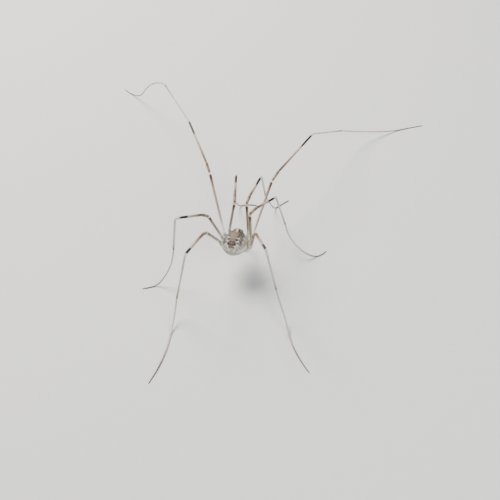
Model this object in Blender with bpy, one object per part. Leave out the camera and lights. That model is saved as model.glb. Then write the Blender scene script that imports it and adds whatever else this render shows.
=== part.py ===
# Harvestman: a still, life-size model of the animal standing on eight long legs.
# The head faces +Y, its left side is at -X, and the feet rest on z = 0.

import math

import bmesh
import bpy
import numpy as np
from mathutils import Vector

MM = 0.001

# Slits between neighbouring pieces
GAP = 0.3 * MM
EYE_GAP = 0.1 * MM

# Body, measured from its long axis
BODY_AXIS_HEIGHT = 6.1 * MM
BODY_HALF_WIDTH = 2.07 * MM
BODY_CROWN = 1.55 * MM
WIDEST_AT = -0.5 * MM
FRONT_REACH = 3.35 * MM
REAR_REACH = 2.35 * MM
# The body keeps the share (1 - gone ** power) ** root of its full size, with power and root from here
REAR_SWELL = (2.0, 0.58)
FRONT_WIDTH_SWELL = (1.45, 0.75)
FRONT_HEIGHT_SWELL = (1.7, 0.66)
BELLY_DEPTH = 1.35 * MM
LEG_BED_DEPTH = 0.74 * MM
BELLY_STEP_FRONT = -0.95 * MM
BELLY_STEP_REAR = -1.7 * MM
WAIST_AT = 0.55 * MM
BODY_SIDES = 28

# Cross grooves between the abdomen's back plates
GROOVES_AT = [-0.3 * MM, -0.85 * MM, -1.38 * MM, -1.85 * MM, -2.25 * MM]
GROOVE_HALF_WIDTH = 0.09 * MM
GROOVE_DEPTH = 0.07 * MM

# Plate that covers the belly between the hips
APRON_CENTRE = Vector((0, 0.0, 4.76)) * MM
APRON_HALF_SIZE = Vector((0.3, 1.35, 0.29)) * MM

# Eye mound and eyes
MOUND_CENTRE = Vector((0, 1.35, 7.18)) * MM
MOUND_HALF_SIZE = Vector((0.38, 0.42, 0.48)) * MM
EYE_RADIUS = 0.16 * MM
EYE_OFFSET = Vector((0.39, 0.05, 0.2)) * MM

# Jaws (chelicerae): a forward part, a hand hanging from it, two fingers
JAW_RADIUS = 0.2 * MM
JAW_ROOT = Vector((0.34, 2.05, 5.1)) * MM
JAW_KNEE = Vector((0.34, 3.3, 5.3)) * MM
JAW_WRIST = Vector((0.34, 3.35, 4.1)) * MM
FINGER_LENGTH = 0.55 * MM
FINGER_SPREAD = 17

# Shares of the jaw's radius: the fingers' offset at the wrist, their thickness at root, middle and tip
FINGER_OFFSET = 0.35
FINGER_THICKNESS = [0.6, 0.45, 0.15]

# Shares of a finger: where it starts to curve in, and how much of its spread the tip keeps
FINGER_BELLY_AT = 0.7
FINGER_TIP_SPREAD = 0.75

# Palps: four lengths folded down before the mouth
PALP_ROOT = Vector((1.06, 2.72, 4.95)) * MM
PALP_RADIUS = 0.25 * MM
PALP_TIP_RADIUS = 0.14 * MM
PALP_LENGTHS = [1.45 * MM, 0.75 * MM, 1.0 * MM, 1.75 * MM]
PALP_TURNS = [(8, -38), (-5, -58), (-20, -78), (-150, -70)]

# Legs, by pair from the front: femur, patella, tibia, metatarsus, tarsus
LEG_LENGTHS = {
    1: [6.7 * MM, 1.5 * MM, 5.1 * MM, 6.9 * MM, 10.0 * MM],
    2: [11.0 * MM, 2.1 * MM, 10.8 * MM, 10.8 * MM, 21.0 * MM],
    3: [6.9 * MM, 1.5 * MM, 5.0 * MM, 7.7 * MM, 10.4 * MM],
    4: [8.5 * MM, 1.8 * MM, 6.4 * MM, 12.8 * MM, 14.6 * MM],
}

# Hip: where the coxa starts under the body, its elbow, and the trochanter at its end
HIPS = {
    1: [Vector((0.82, 1.75, 4.75)) * MM, Vector((1.25, 2.05, 4.8)) * MM, Vector((1.6, 2.4, 5.8)) * MM],
    2: [Vector((0.8, 1.0, 4.75)) * MM, Vector((1.75, 1.38, 4.8)) * MM, Vector((2.32, 1.7, 5.7)) * MM],
    3: [Vector((0.8, 0.28, 4.75)) * MM, Vector((1.9, 0.58, 4.8)) * MM, Vector((2.45, 0.82, 5.6)) * MM],
    4: [Vector((0.8, -0.45, 4.75)) * MM, Vector((2.0, -0.33, 4.8)) * MM, Vector((2.65, -0.15, 5.6)) * MM],
}

# Pose: each length's heading, outwards from straight ahead, and its rise, in degrees
LEG_POSE = {
    ("left", 1): [(-83, 83), (12, 13), (12, -6), (19, -78)],
    ("right", 1): [(-60, 85), (8, 16), (8, -3), (11, -71)],
    ("left", 2): [(28, 19), (33, 22), (33, 4), (41, 3)],
    ("right", 2): [(5, 17), (22, 22), (22, 5), (29, -28)],
    ("left", 3): [(139, 69), (138, 42), (138, 23), (81, -84)],
    ("right", 3): [(-112, 87), (28, 5), (28, -14), (58, -74)],
    ("left", 4): [(173, 56), (173, 39), (173, 20), (71, -79)],
    ("right", 4): [(162, 63), (154, 48), (154, 29), (31, -76)],
}

# Tarsus: headings at its start, middle and end, how steeply it starts down, how long it bends level,
# and how much of it lies flat
TARSUS_POSE = {
    ("left", 1): ((39, -25, -97), 53, 1.4 * MM, 3.0 * MM),
    ("right", 1): ((12, 28, 40), 65, 1.4 * MM, 2.5 * MM),
    ("left", 2): ((41, 50, 62), 24, 6.0 * MM, 1.3 * MM),
    ("right", 2): ((29, 54, 60), 34, 2.9 * MM, 4.0 * MM),
    ("left", 3): ((156, 129, 118), 83, 1.5 * MM, 1.5 * MM),
    ("right", 3): ((154, 104, 30), 26, 1.5 * MM, 1.5 * MM),
    ("left", 4): ((181, 186, 168), 60, 2.0 * MM, 6.4 * MM),
    ("right", 4): ((123, 155, 135), 70, 2.0 * MM, 3.4 * MM),
}
TARSUS_STEPS = 12
LANDING_STEPS = 5
FLAT_STEPS = 3

# Slopes between which the start of the landing is sought
LANDING_SLOPES = (-10.0, 89.0)
SEARCH_STEPS = 50

# Leg thickness, and the share of the femur after which it swells towards the knee
COXA_ROOT_RADIUS = 0.24 * MM
COXA_RADIUS = 0.27 * MM
TROCHANTER_RADIUS = 0.33 * MM
FEMUR_RADIUS = 0.27 * MM
KNEE_RADIUS = 0.3 * MM
KNEE_SWELL_AT = 0.85
TIBIA_RADIUS = 0.26 * MM
METATARSUS_RADIUS = 0.25 * MM
TARSUS_RADIUS = 0.25 * MM
TIP_RADIUS = 0.13 * MM
TIP_TAPER = 3.5 * MM
TUBE_SIDES = 8

# Height of a foot's middle line over the floor, in its own radii, so that one side lies flat
FOOT_SINK = 0.9

# Round bends of the limbs
BEND_RADIUS = 0.32 * MM
HIP_BEND_RADIUS = 0.45 * MM
BEND_STEP_ANGLE = 22.5
HIP_STUB = 0.5 * MM

MATERIALS = {
    "carapace": ((0.36, 0.27, 0.2), 0.6),
    "abdomen": ((0.42, 0.34, 0.28), 0.62),
    "eye": ((0.01, 0.01, 0.012), 0.12),
    "jaw": ((0.62, 0.54, 0.44), 0.5),
    "leg_root": ((0.66, 0.6, 0.5), 0.55),
    "leg": ((0.4, 0.31, 0.24), 0.55),
    "knee": ((0.16, 0.1, 0.08), 0.5),
    "foot": ((0.24, 0.17, 0.15), 0.55),
}


def clear_scene():
    for item in list(bpy.data.objects):
        bpy.data.objects.remove(item, do_unlink=True)


def make_collection(name):
    group = bpy.data.collections.new(name)
    bpy.context.scene.collection.children.link(group)
    return group


def make_material(name):
    colour, roughness = MATERIALS[name]
    material = bpy.data.materials.get(name)
    if material is None:
        material = bpy.data.materials.new(name)
        material.use_nodes = True
        shader = material.node_tree.nodes["Principled BSDF"]
        shader.inputs["Base Color"].default_value = (*colour, 1)
        shader.inputs["Roughness"].default_value = roughness
        shader.inputs["Metallic"].default_value = 0
    return material


def add_mesh(name, bm, material, group):
    """Turn a bmesh into a smooth-shaded object with sharp rims."""
    mesh = bpy.data.meshes.new(name)
    bm.to_mesh(mesh)
    bm.free()
    mesh.materials.append(make_material(material))
    mesh.shade_smooth()
    mesh.set_sharp_from_angle(angle=math.radians(40))
    piece = bpy.data.objects.new(name, mesh)
    group.objects.link(piece)
    return piece


def add_tube(name, points, radii, material, group):
    """A round tube along points, with its own radius at each and one of its sides facing down."""
    curve = bpy.data.curves.new(name, "CURVE")
    curve.dimensions = "3D"
    curve.twist_mode = "Z_UP"
    curve.bevel_depth = 1.0
    curve.bevel_resolution = (TUBE_SIDES - 4) // 2
    curve.use_fill_caps = True
    spline = curve.splines.new("POLY")
    spline.points.add(len(points) - 1)
    for knot, place, radius in zip(spline.points, points, radii):
        knot.co = (*place, 1)
        knot.radius = radius
        knot.tilt = math.pi / TUBE_SIDES
    curve.materials.append(make_material(material))
    piece = bpy.data.objects.new(name, curve)
    group.objects.link(piece)
    return piece


def tube_to_mesh(piece, group):
    """Replace a tube by its mesh, with the end caps welded on."""
    graph = bpy.context.evaluated_depsgraph_get()
    mesh = bpy.data.meshes.new_from_object(piece.evaluated_get(graph))
    name = piece.name
    place = piece.matrix_world.copy()
    bpy.data.objects.remove(piece, do_unlink=True)
    bm = bmesh.new()
    bm.from_mesh(mesh)
    bmesh.ops.remove_doubles(bm, verts=bm.verts, dist=0.001 * MM)
    bmesh.ops.recalc_face_normals(bm, faces=bm.faces)
    bm.to_mesh(mesh)
    bm.free()
    solid = bpy.data.objects.new(name, mesh)
    solid.matrix_world = place
    group.objects.link(solid)
    return solid


def keep_largest_shell(bm):
    """Drop every closed surface but the one with the most faces."""
    unseen = set(bm.faces)
    shells = []
    while unseen:
        front = [unseen.pop()]
        shell = set(front)
        while front:
            face = front.pop()
            for edge in face.edges:
                for other in edge.link_faces:
                    if other in unseen:
                        unseen.remove(other)
                        shell.add(other)
                        front.append(other)
        shells.append(shell)
    shells.sort(key=len, reverse=True)
    scraps = [face for shell in shells[1:] for face in shell]
    bmesh.ops.delete(bm, geom=scraps, context="FACES")


def fuse(name, base, extras, group, solver="EXACT"):
    """Join closed meshes to one body with a Boolean union."""
    tools = bpy.data.collections.new(name + "_tools")
    for extra in extras:
        for holder in list(extra.users_collection):
            holder.objects.unlink(extra)
        tools.objects.link(extra)
    union = base.modifiers.new("fuse", "BOOLEAN")
    union.operation = "UNION"
    union.operand_type = "COLLECTION"
    union.collection = tools
    union.solver = solver
    graph = bpy.context.evaluated_depsgraph_get()
    mesh = bpy.data.meshes.new_from_object(base.evaluated_get(graph))
    bpy.data.objects.remove(base, do_unlink=True)
    for extra in extras:
        bpy.data.objects.remove(extra, do_unlink=True)
    bpy.data.collections.remove(tools)
    bm = bmesh.new()
    bm.from_mesh(mesh)
    bmesh.ops.remove_doubles(bm, verts=bm.verts, dist=0.001 * MM)
    keep_largest_shell(bm)
    bm.to_mesh(mesh)
    bm.free()
    solid = bpy.data.objects.new(name, mesh)
    group.objects.link(solid)
    return solid


def body_swell(y, front_swell):
    """Share of the full width or height that the body keeps at station y."""
    if y < WIDEST_AT:
        gone, (power, root) = (WIDEST_AT - y) / REAR_REACH, REAR_SWELL
    else:
        gone, (power, root) = (y - WIDEST_AT) / FRONT_REACH, front_swell
    return max(0.0, 1 - gone ** power) ** root


def belly_depth(y):
    """Depth of the underside: shallow over the hips, full behind them."""
    share = (BELLY_STEP_FRONT - y) / (BELLY_STEP_FRONT - BELLY_STEP_REAR)
    share = min(1.0, max(0.0, share))
    share = share * share * (3 - 2 * share)
    return LEG_BED_DEPTH + (BELLY_DEPTH - LEG_BED_DEPTH) * share


def groove_depth(y):
    """Depth of a back groove at station y."""
    near = min(abs(y - groove) for groove in GROOVES_AT)
    return GROOVE_DEPTH if near < GROOVE_HALF_WIDTH / 2 else 0.0


def body_stations():
    """Places of the rings round the body, from the rear tip to the front tip."""
    rear = WIDEST_AT - REAR_REACH
    front = WIDEST_AT + FRONT_REACH
    ends = [0.01, 0.05, 0.13, 0.24]
    stations = [rear + step * MM for step in ends]
    for groove in GROOVES_AT:
        stations += [groove - GROOVE_HALF_WIDTH, groove, groove + GROOVE_HALF_WIDTH]
    stations += [step * MM for step in (0.0, WAIST_AT / MM, 0.95, 1.35, 1.7, 2.0, 2.25, 2.48)]
    stations += [front - step * MM for step in ends]
    return sorted(stations)


def body_point(y, angle):
    """A point of the body's skin; the angle is 0 at the right side and 90 degrees on top."""
    across = math.cos(angle) * BODY_HALF_WIDTH * body_swell(y, FRONT_WIDTH_SWELL)
    height = (BODY_CROWN - groove_depth(y)) if math.sin(angle) > 0 else belly_depth(y)
    up = math.sin(angle) * height * body_swell(y, FRONT_HEIGHT_SWELL)
    return Vector((across, y, BODY_AXIS_HEIGHT + up))


def whole_body():
    """The body in one piece, from a sphere whose rings are moved to the stations."""
    stations = body_stations()
    rings = len(stations) + 1
    bm = bmesh.new()
    bmesh.ops.create_uvsphere(bm, u_segments=BODY_SIDES, v_segments=rings, radius=1)
    for vert in bm.verts:
        ring = round(math.acos(max(-1.0, min(1.0, vert.co.z))) / math.pi * rings)
        if ring == 0:
            vert.co = Vector((0, WIDEST_AT - REAR_REACH, BODY_AXIS_HEIGHT))
        elif ring == rings:
            vert.co = Vector((0, WIDEST_AT + FRONT_REACH, BODY_AXIS_HEIGHT))
        else:
            vert.co = body_point(stations[ring - 1], math.atan2(vert.co.y, vert.co.x))
    bmesh.ops.recalc_face_normals(bm, faces=bm.faces)
    return bm


def cut_flat(bm, place, normal):
    """Cut away what lies on the normal's side of a plane and close the cut."""
    everything = list(bm.verts) + list(bm.edges) + list(bm.faces)
    bmesh.ops.bisect_plane(
        bm, geom=everything, dist=0.0005 * MM, plane_co=place, plane_no=normal, clear_outer=True
    )
    rim = [edge for edge in bm.edges if edge.is_boundary]
    bmesh.ops.edgeloop_fill(bm, edges=rim)
    bmesh.ops.recalc_face_normals(bm, faces=bm.faces)


def add_ellipsoid(name, centre, half_size, group, sides=16, rings=10):
    bm = bmesh.new()
    bmesh.ops.create_uvsphere(bm, u_segments=sides, v_segments=rings, radius=1)
    for vert in bm.verts:
        vert.co = centre + Vector([part * size for part, size in zip(vert.co, half_size)])
    return add_mesh(name, bm, "carapace", group)


def mirrored(place, side):
    """The same place on the animal's left or right."""
    return Vector((-place.x if side == "left" else place.x, place.y, place.z))


def eye_centre(side):
    return MOUND_CENTRE + mirrored(EYE_OFFSET, side)


def make_abdomen(group):
    bm = whole_body()
    cut_flat(bm, Vector((0, WAIST_AT - GAP / 2, 0)), Vector((0, 1, 0)))
    back = add_mesh("back", bm, "abdomen", group)
    apron = add_ellipsoid("apron", APRON_CENTRE, APRON_HALF_SIZE, group, sides=12, rings=12)
    fuse("abdomen", back, [apron], group)


def make_carapace(group):
    """The head shield with the eye mound on it, hollowed a little round each eye."""
    bm = whole_body()
    cut_flat(bm, Vector((0, WAIST_AT + GAP / 2, 0)), Vector((0, -1, 0)))
    shield = add_mesh("shield", bm, "carapace", group)
    mound = add_ellipsoid("mound", MOUND_CENTRE, MOUND_HALF_SIZE, group, sides=20, rings=14)
    head = fuse("carapace", shield, [mound], group)
    cutters = make_collection("eye sockets")
    for side in ("left", "right"):
        reach = Vector((1, 1, 1)) * (EYE_RADIUS + EYE_GAP)
        socket = add_ellipsoid(side + "_socket", eye_centre(side), reach, cutters, sides=14, rings=10)
        socket.hide_render = True
        socket.display_type = "WIRE"
        cut = head.modifiers.new(side + "_socket", "BOOLEAN")
        cut.operation = "DIFFERENCE"
        cut.object = socket


def make_eyes(group):
    for side in ("left", "right"):
        reach = Vector((1, 1, 1)) * EYE_RADIUS
        eye = add_ellipsoid(side + "_eye", eye_centre(side), reach, group, sides=12, rings=8)
        eye.data.materials[0] = make_material("eye")


def direction(side, heading, rise):
    """Unit vector from a heading, outwards from straight ahead, and a rise."""
    out = math.sin(math.radians(heading)) * math.cos(math.radians(rise))
    ahead = math.cos(math.radians(heading)) * math.cos(math.radians(rise))
    return Vector((-out if side == "left" else out, ahead, math.sin(math.radians(rise))))


def slit_half(before, after, radius):
    """Half of a slit between two tubes that meet at a slight angle."""
    return GAP / 2 + radius * math.tan(before.angle(after) / 2)


def bend_setback(before, after, radius=BEND_RADIUS):
    """How far from a corner its round bend begins."""
    return radius * math.tan(before.angle(after) / 2)


def bend(corner, before, after, radius=BEND_RADIUS):
    """Points of the round bend that takes the place of a corner."""
    turn = before.angle(after)
    start = corner - before * bend_setback(before, after, radius)
    inward = (after - before * before.dot(after)).normalized()
    centre = start + inward * radius
    steps = math.ceil(math.degrees(turn) / BEND_STEP_ANGLE)
    points = []
    for step in range(steps + 1):
        angle = turn * step / steps
        spoke = before * math.sin(angle) - inward * math.cos(angle)
        points.append(centre + spoke * radius)
    return points


def make_jaw(side, group):
    root, knee, wrist = (mirrored(place, side) for place in (JAW_ROOT, JAW_KNEE, JAW_WRIST))
    ahead = (knee - root).normalized()
    down = (wrist - knee).normalized()
    points = [root] + bend(knee, ahead, down) + [wrist]
    arm = tube_to_mesh(add_tube("arm", points, [JAW_RADIUS] * len(points), "jaw", group), group)
    fingers = []
    for sign in (-1, 1):
        lean = math.radians(sign * FINGER_SPREAD)
        reach = Vector((0, math.sin(lean), -math.cos(lean))) * FINGER_LENGTH
        start = wrist + Vector((0, sign * JAW_RADIUS * FINGER_OFFSET, JAW_RADIUS))
        belly = start + reach * FINGER_BELLY_AT
        tip = wrist + Vector((0, reach.y * FINGER_TIP_SPREAD, reach.z))
        radii = [JAW_RADIUS * share for share in FINGER_THICKNESS]
        finger = add_tube("finger", [start, belly, tip], radii, "jaw", group)
        fingers.append(tube_to_mesh(finger, group))
    fuse(side + "_jaw", arm, fingers, group, solver="MANIFOLD")


def make_palp(side, group):
    corner = mirrored(PALP_ROOT, side)
    points = [corner]
    ways = [direction(side, heading, rise) for heading, rise in PALP_TURNS]
    for index, length in enumerate(PALP_LENGTHS):
        corner = corner + ways[index] * length
        if index + 1 < len(ways):
            points += bend(corner, ways[index], ways[index + 1])
    points.append(corner)
    last = len(points) - 1
    radii = [PALP_RADIUS] * last + [PALP_TIP_RADIUS]
    add_tube(side + "_palp", points, radii, "jaw", group)


def tarsus_walk(start, side, pose, length, landing_pitch):
    """Points of a tarsus that leaves its joint, nears the floor, bends level and lies flat."""
    headings, pitch_start, landing, flat = pose
    stretches = [(length - landing - flat, TARSUS_STEPS, pitch_start, landing_pitch)]
    stretches.append((landing, LANDING_STEPS, landing_pitch, 0))
    stretches.append((flat, FLAT_STEPS, 0, 0))
    points = [start.copy()]
    gone = 0
    for reach, steps, pitch_from, pitch_to in stretches:
        for step in range(steps):
            gone += reach / steps
            heading = float(np.interp(gone / length, (0, 0.5, 1), headings))
            pitch = pitch_from + (pitch_to - pitch_from) * (step + 0.5) / steps
            points.append(points[-1] + direction(side, heading, -pitch) * reach / steps)
    return points


def tarsus_points(start, side, pose, length):
    """The walk whose landing pitch brings the foot's end exactly to the floor."""
    low, high = LANDING_SLOPES
    floor_height = TIP_RADIUS * FOOT_SINK
    for _ in range(SEARCH_STEPS):
        middle = (low + high) / 2
        if tarsus_walk(start, side, pose, length, middle)[-1].z > floor_height:
            low = middle
        else:
            high = middle
    return tarsus_walk(start, side, pose, length, middle)


def distances(points):
    """How far along the line each point is."""
    found = [0.0]
    for before, after in zip(points, points[1:]):
        found.append(found[-1] + (after - before).length)
    return found


def add_tarsus(name, points, group):
    """A tube that thins to its tip and stands on a small flat of its own underside."""
    along = distances(points)
    radii = []
    for gone in along:
        share = min(1.0, (along[-1] - gone) / TIP_TAPER)
        radii.append(TIP_RADIUS + (TARSUS_RADIUS - TIP_RADIUS) * share)
    lifted = []
    for place, radius in zip(points, radii):
        lifted.append(Vector((place.x, place.y, max(place.z, radius * FOOT_SINK))))
    tube = tube_to_mesh(add_tube(name, lifted, radii, "foot", group), group)
    for vert in tube.data.vertices:
        vert.co.z = max(vert.co.z, 0)


def make_leg(side, pair, group):
    lengths = LEG_LENGTHS[pair]
    femur, patella, tibia, metatarsus = (direction(side, *turn) for turn in LEG_POSE[(side, pair)])
    root, elbow, hip = (mirrored(place, side) for place in HIPS[pair])
    knee = hip + femur * lengths[0]
    joint = knee + patella * lengths[1]
    shin_end = joint + tibia * lengths[2]
    ankle = shin_end + metatarsus * lengths[3]
    prefix = "%s_leg_%d_" % (side, pair)

    coxa = (elbow - root).normalized()
    rising = (hip - elbow).normalized()
    neck = hip + femur * HIP_STUB
    lower = bend(elbow, coxa, rising)
    upper = bend(hip, rising, femur, HIP_BEND_RADIUS)
    points = [root] + lower + upper + [neck]
    radii = [COXA_ROOT_RADIUS] + [COXA_RADIUS] * len(lower)
    radii += [TROCHANTER_RADIUS] * len(upper) + [FEMUR_RADIUS]
    add_tube(prefix + "coxa", points, radii, "leg_root", group)

    start = neck + femur * GAP
    end = knee - femur * (bend_setback(femur, patella) + GAP)
    points = [start, start.lerp(end, KNEE_SWELL_AT), end]
    add_tube(prefix + "femur", points, [FEMUR_RADIUS, FEMUR_RADIUS, KNEE_RADIUS], "leg", group)

    slit = slit_half(patella, tibia, TIBIA_RADIUS)
    end = joint - patella * slit
    points = bend(knee, femur, patella)
    radii = [KNEE_RADIUS] * len(points) + [TIBIA_RADIUS]
    add_tube(prefix + "patella", points + [end], radii, "knee", group)

    start = joint + tibia * slit
    end = shin_end - tibia * (bend_setback(tibia, metatarsus) + GAP)
    add_tube(prefix + "tibia", [start, end], [TIBIA_RADIUS] * 2, "leg", group)

    points = bend(shin_end, tibia, metatarsus) + [ankle - metatarsus * GAP / 2]
    add_tube(prefix + "metatarsus", points, [METATARSUS_RADIUS] * len(points), "leg", group)

    pose = TARSUS_POSE[(side, pair)]
    downward = direction(side, pose[0][0], -pose[1])
    setback = bend_setback(metatarsus, downward)
    start = bend(ankle + metatarsus * (GAP / 2 + setback), metatarsus, downward)
    points = tarsus_points(start[-1], side, pose, lengths[4] - GAP / 2 - setback * 2)
    add_tarsus(prefix + "tarsus", start[:-1] + points, group)


def centre_over_floor(group):
    """Slide everything so that the model's box is centred over the origin."""
    graph = bpy.context.evaluated_depsgraph_get()
    corners = []
    for piece in group.objects:
        mesh = piece.evaluated_get(graph).to_mesh()
        corners += [piece.matrix_world @ vert.co for vert in mesh.vertices]
        piece.evaluated_get(graph).to_mesh_clear()
    middle_x = (min(corner.x for corner in corners) + max(corner.x for corner in corners)) / 2
    middle_y = (min(corner.y for corner in corners) + max(corner.y for corner in corners)) / 2
    for piece in bpy.data.objects:
        piece.location -= Vector((middle_x, middle_y, 0))


def main():
    clear_scene()
    group = make_collection("harvestman")
    make_abdomen(group)
    make_carapace(group)
    make_eyes(group)
    for side in ("left", "right"):
        make_jaw(side, group)
        make_palp(side, group)
        for pair in LEG_LENGTHS:
            make_leg(side, pair, group)
    bpy.context.view_layer.update()
    centre_over_floor(group)


main()
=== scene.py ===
# %% [markdown]
# A harvestman stands on eight thread-thin legs, its small oval body slung between them. It is built
# here as a life-size museum model: the plain solids of the frame give every place and size, and each
# is dressed with a finer form. First the frame is loaded and measured, so that all that follows fits
# it.

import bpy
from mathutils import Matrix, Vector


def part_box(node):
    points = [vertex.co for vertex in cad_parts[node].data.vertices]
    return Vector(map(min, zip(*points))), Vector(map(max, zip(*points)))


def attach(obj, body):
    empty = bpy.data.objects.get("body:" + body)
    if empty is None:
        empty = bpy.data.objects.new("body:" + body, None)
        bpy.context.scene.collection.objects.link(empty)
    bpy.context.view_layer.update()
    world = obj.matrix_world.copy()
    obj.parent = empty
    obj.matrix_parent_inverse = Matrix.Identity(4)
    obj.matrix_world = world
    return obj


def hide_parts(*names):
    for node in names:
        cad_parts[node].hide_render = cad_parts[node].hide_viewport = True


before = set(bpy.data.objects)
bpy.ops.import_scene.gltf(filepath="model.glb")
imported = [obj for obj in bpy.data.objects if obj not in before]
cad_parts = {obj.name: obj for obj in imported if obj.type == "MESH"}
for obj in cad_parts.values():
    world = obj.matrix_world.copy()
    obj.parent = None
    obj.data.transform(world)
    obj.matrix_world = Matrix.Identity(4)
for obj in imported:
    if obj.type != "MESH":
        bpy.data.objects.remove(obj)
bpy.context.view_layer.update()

# %% [markdown]
# The body is under 6 mm long, too small for Blender's merge distances and voxels, so the animal is
# modelled with one unit for each millimetre, from the middle of its body, and every finished piece is
# shrunk to life size and set over the frame. The abdomen's solid tells where the body's middle is.

# %% Units and the middle of the body
import math

import bmesh
import bpy
import numpy as np
from mathutils import Matrix, Vector

MM = 0.001
REAR_TIP = -2.85
SIDES = ("left", "right")

abdomen_low, abdomen_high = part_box("abdomen")
BODY_PLACE = Vector(((abdomen_low.x + abdomen_high.x) / 2, abdomen_low.y - REAR_TIP * MM, 0))
print("middle of the body in mm:", [round(1000 * part, 2) for part in BODY_PLACE])

# %% Select, add and edit


def only(piece):
    """Select one piece and nothing else, and make it the active one."""
    if bpy.context.mode != "OBJECT":
        bpy.ops.object.mode_set(mode="OBJECT")
    bpy.ops.object.select_all(action="DESELECT")
    piece.select_set(True)
    bpy.context.view_layer.objects.active = piece
    return piece


def new_object(name, data):
    thing = bpy.data.objects.new(name, data)
    bpy.context.scene.collection.objects.link(thing)
    return thing


def new_piece(name):
    """Name the piece that was just made."""
    piece = bpy.context.active_object
    piece.name = name
    piece.data.name = name
    return only(piece)


def add_primitive(name, operator, **settings):
    """Add a primitive with nothing else selected, and name it."""
    bpy.ops.object.select_all(action="DESELECT")
    operator(**settings)
    return new_piece(name)


def edit(piece, action="DESELECT"):
    """Open a piece in edit mode with nothing selected, or everything."""
    only(piece)
    bpy.ops.object.mode_set(mode="EDIT")
    bpy.ops.mesh.select_mode(type="VERT")
    bpy.ops.mesh.select_all(action=action)


def pick(piece, rule):
    """In edit mode, select the points that a rule accepts, and no others."""
    shape = bmesh.from_edit_mesh(piece.data)
    shape.verts.index_update()
    for point in shape.verts:
        point.select_set(False)
    shape.select_flush(False)
    for point in shape.verts:
        if rule(point):
            point.select_set(True)
    shape.select_flush_mode()
    bmesh.update_edit_mesh(piece.data)


def stretch(shares, centre):
    bpy.ops.transform.resize(value=shares, center_override=centre)


def shift(way):
    bpy.ops.transform.translate(value=way)


def done():
    bpy.ops.object.mode_set(mode="OBJECT")

# %% Modifiers, joining and points


def add_modifier(piece, kind, **settings):
    """Add a modifier with its settings and apply it."""
    only(piece)
    modifier = piece.modifiers.new(kind.lower(), kind)
    for key, value in settings.items():
        setattr(modifier, key, value)
    bpy.ops.object.modifier_apply(modifier=modifier.name)


def join(name, pieces):
    only(pieces[0])
    for piece in pieces[1:]:
        piece.select_set(True)
    bpy.ops.object.join()
    return new_piece(name)


def points_of(piece, what="co"):
    """The points of a piece, or their normals, as rows of x, y, z."""
    rows = np.empty(len(piece.data.vertices) * 3)
    piece.data.vertices.foreach_get(what, rows)
    return rows.reshape(-1, 3)


def move_points(piece, places):
    piece.data.vertices.foreach_set("co", places.astype(np.float32).ravel())
    piece.data.update()


# %% [markdown]
# The photograph looks down on the animal from behind, a little from its right. The camera stands
# there, as far away as the spread of the legs in the picture asks, tilted by two degrees, with a soft
# key light from the upper left, a weaker one opposite, and a plain pale floor under the feet.

# %% Camera, floor and light
CAMERA_PLACE = (17.4, -70.15, 90.16)
CAMERA_AIM = (1.66, 3.86, 0)
CAMERA_ROLL = 2
CAMERA_ANGLE = 40
NEAREST_SEEN = 0.005
FLOOR_SIZE = 6000
SKY_COLOUR = (0.93, 0.95, 1.0, 1)
SKY_STRENGTH = 0.24
LAMP_AIM = (0, 0, 5)
LAMPS = {
    "key": ((-230, 170, 330), 230, 4.1, (1.0, 0.97, 0.93)),
    "fill": ((300, -180, 260), 320, 1.6, (0.9, 0.95, 1.0)),
}


def stand(name, data, place, aim, roll=0):
    """Put a camera or lamp at a place in millimetres from the body's middle, looking at another."""
    turn = (Vector(aim) - Vector(place)).to_track_quat("-Z", "Y").to_matrix()
    turn = turn @ Matrix.Rotation(math.radians(roll), 3, "Z")
    thing = new_object(name, data)
    thing.matrix_world = Matrix.LocRotScale(BODY_PLACE + Vector(place) * MM, turn, None)
    return thing


camera_data = bpy.data.cameras.new("camera")
camera_data.angle = math.radians(CAMERA_ANGLE)
camera_data.clip_start = NEAREST_SEEN
camera = stand("camera", camera_data, CAMERA_PLACE, CAMERA_AIM, CAMERA_ROLL)
bpy.context.scene.camera = camera

for name, (place, size, power, colour) in LAMPS.items():
    lamp_data = bpy.data.lights.new(name, "AREA")
    lamp_data.shape = "DISK"
    lamp_data.size = size * MM
    lamp_data.energy = power
    lamp_data.color = colour
    stand(name, lamp_data, place, LAMP_AIM)

world = bpy.data.worlds.new("studio")
world.use_nodes = True
sky = world.node_tree.nodes["Background"].inputs
sky["Color"].default_value = SKY_COLOUR
sky["Strength"].default_value = SKY_STRENGTH
bpy.context.scene.world = world

floor = add_primitive("floor", bpy.ops.mesh.primitive_plane_add, size=FLOOR_SIZE * MM)
print("camera at mm:", [round(1000 * part) for part in camera.location])

# %% [markdown]
# Every finish starts from one shader whose fixed numbers are set on its own sockets. Colours come from
# the palette below, picked for each part of the animal, and are mixed by what the surface is: a
# colour painted on its points, or the place on the body. A little noise breaks each of them up.

# %% Palette
SCREEN_COLOURS = {
    "cream": (230, 221, 204), "pale": (184, 168, 148), "fawn": (158, 141, 114),
    "brown": (106, 82, 60), "red brown": (68, 36, 26), "black": (28, 20, 18),
    "rose": (188, 164, 156), "mauve": (102, 80, 78), "tan": (126, 106, 80),
    "plum": (72, 47, 48), "slate": (110, 105, 108), "grey": (184, 178, 161),
    "white": (240, 240, 230), "silver": (206, 204, 192), "ivory": (224, 221, 207),
    "belly": (216, 203, 180),
}
FLOOR_COLOURS = ((0.71, 0.705, 0.69), (0.75, 0.745, 0.73))
SKIN_GLOW = (0.4 * MM, 0.25 * MM, 0.18 * MM)


def linear(part):
    """A colour part as read from a screen, 0 to 255, turned to linear light."""
    part = part / 255
    return part / 12.92 if part <= 0.04045 else ((part + 0.055) / 1.055) ** 2.4


PALETTE = {name: np.array([linear(part) for part in colour]) for name, colour in SCREEN_COLOURS.items()}
print("colours:", len(PALETTE))

# %% Nodes of a finish


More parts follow.
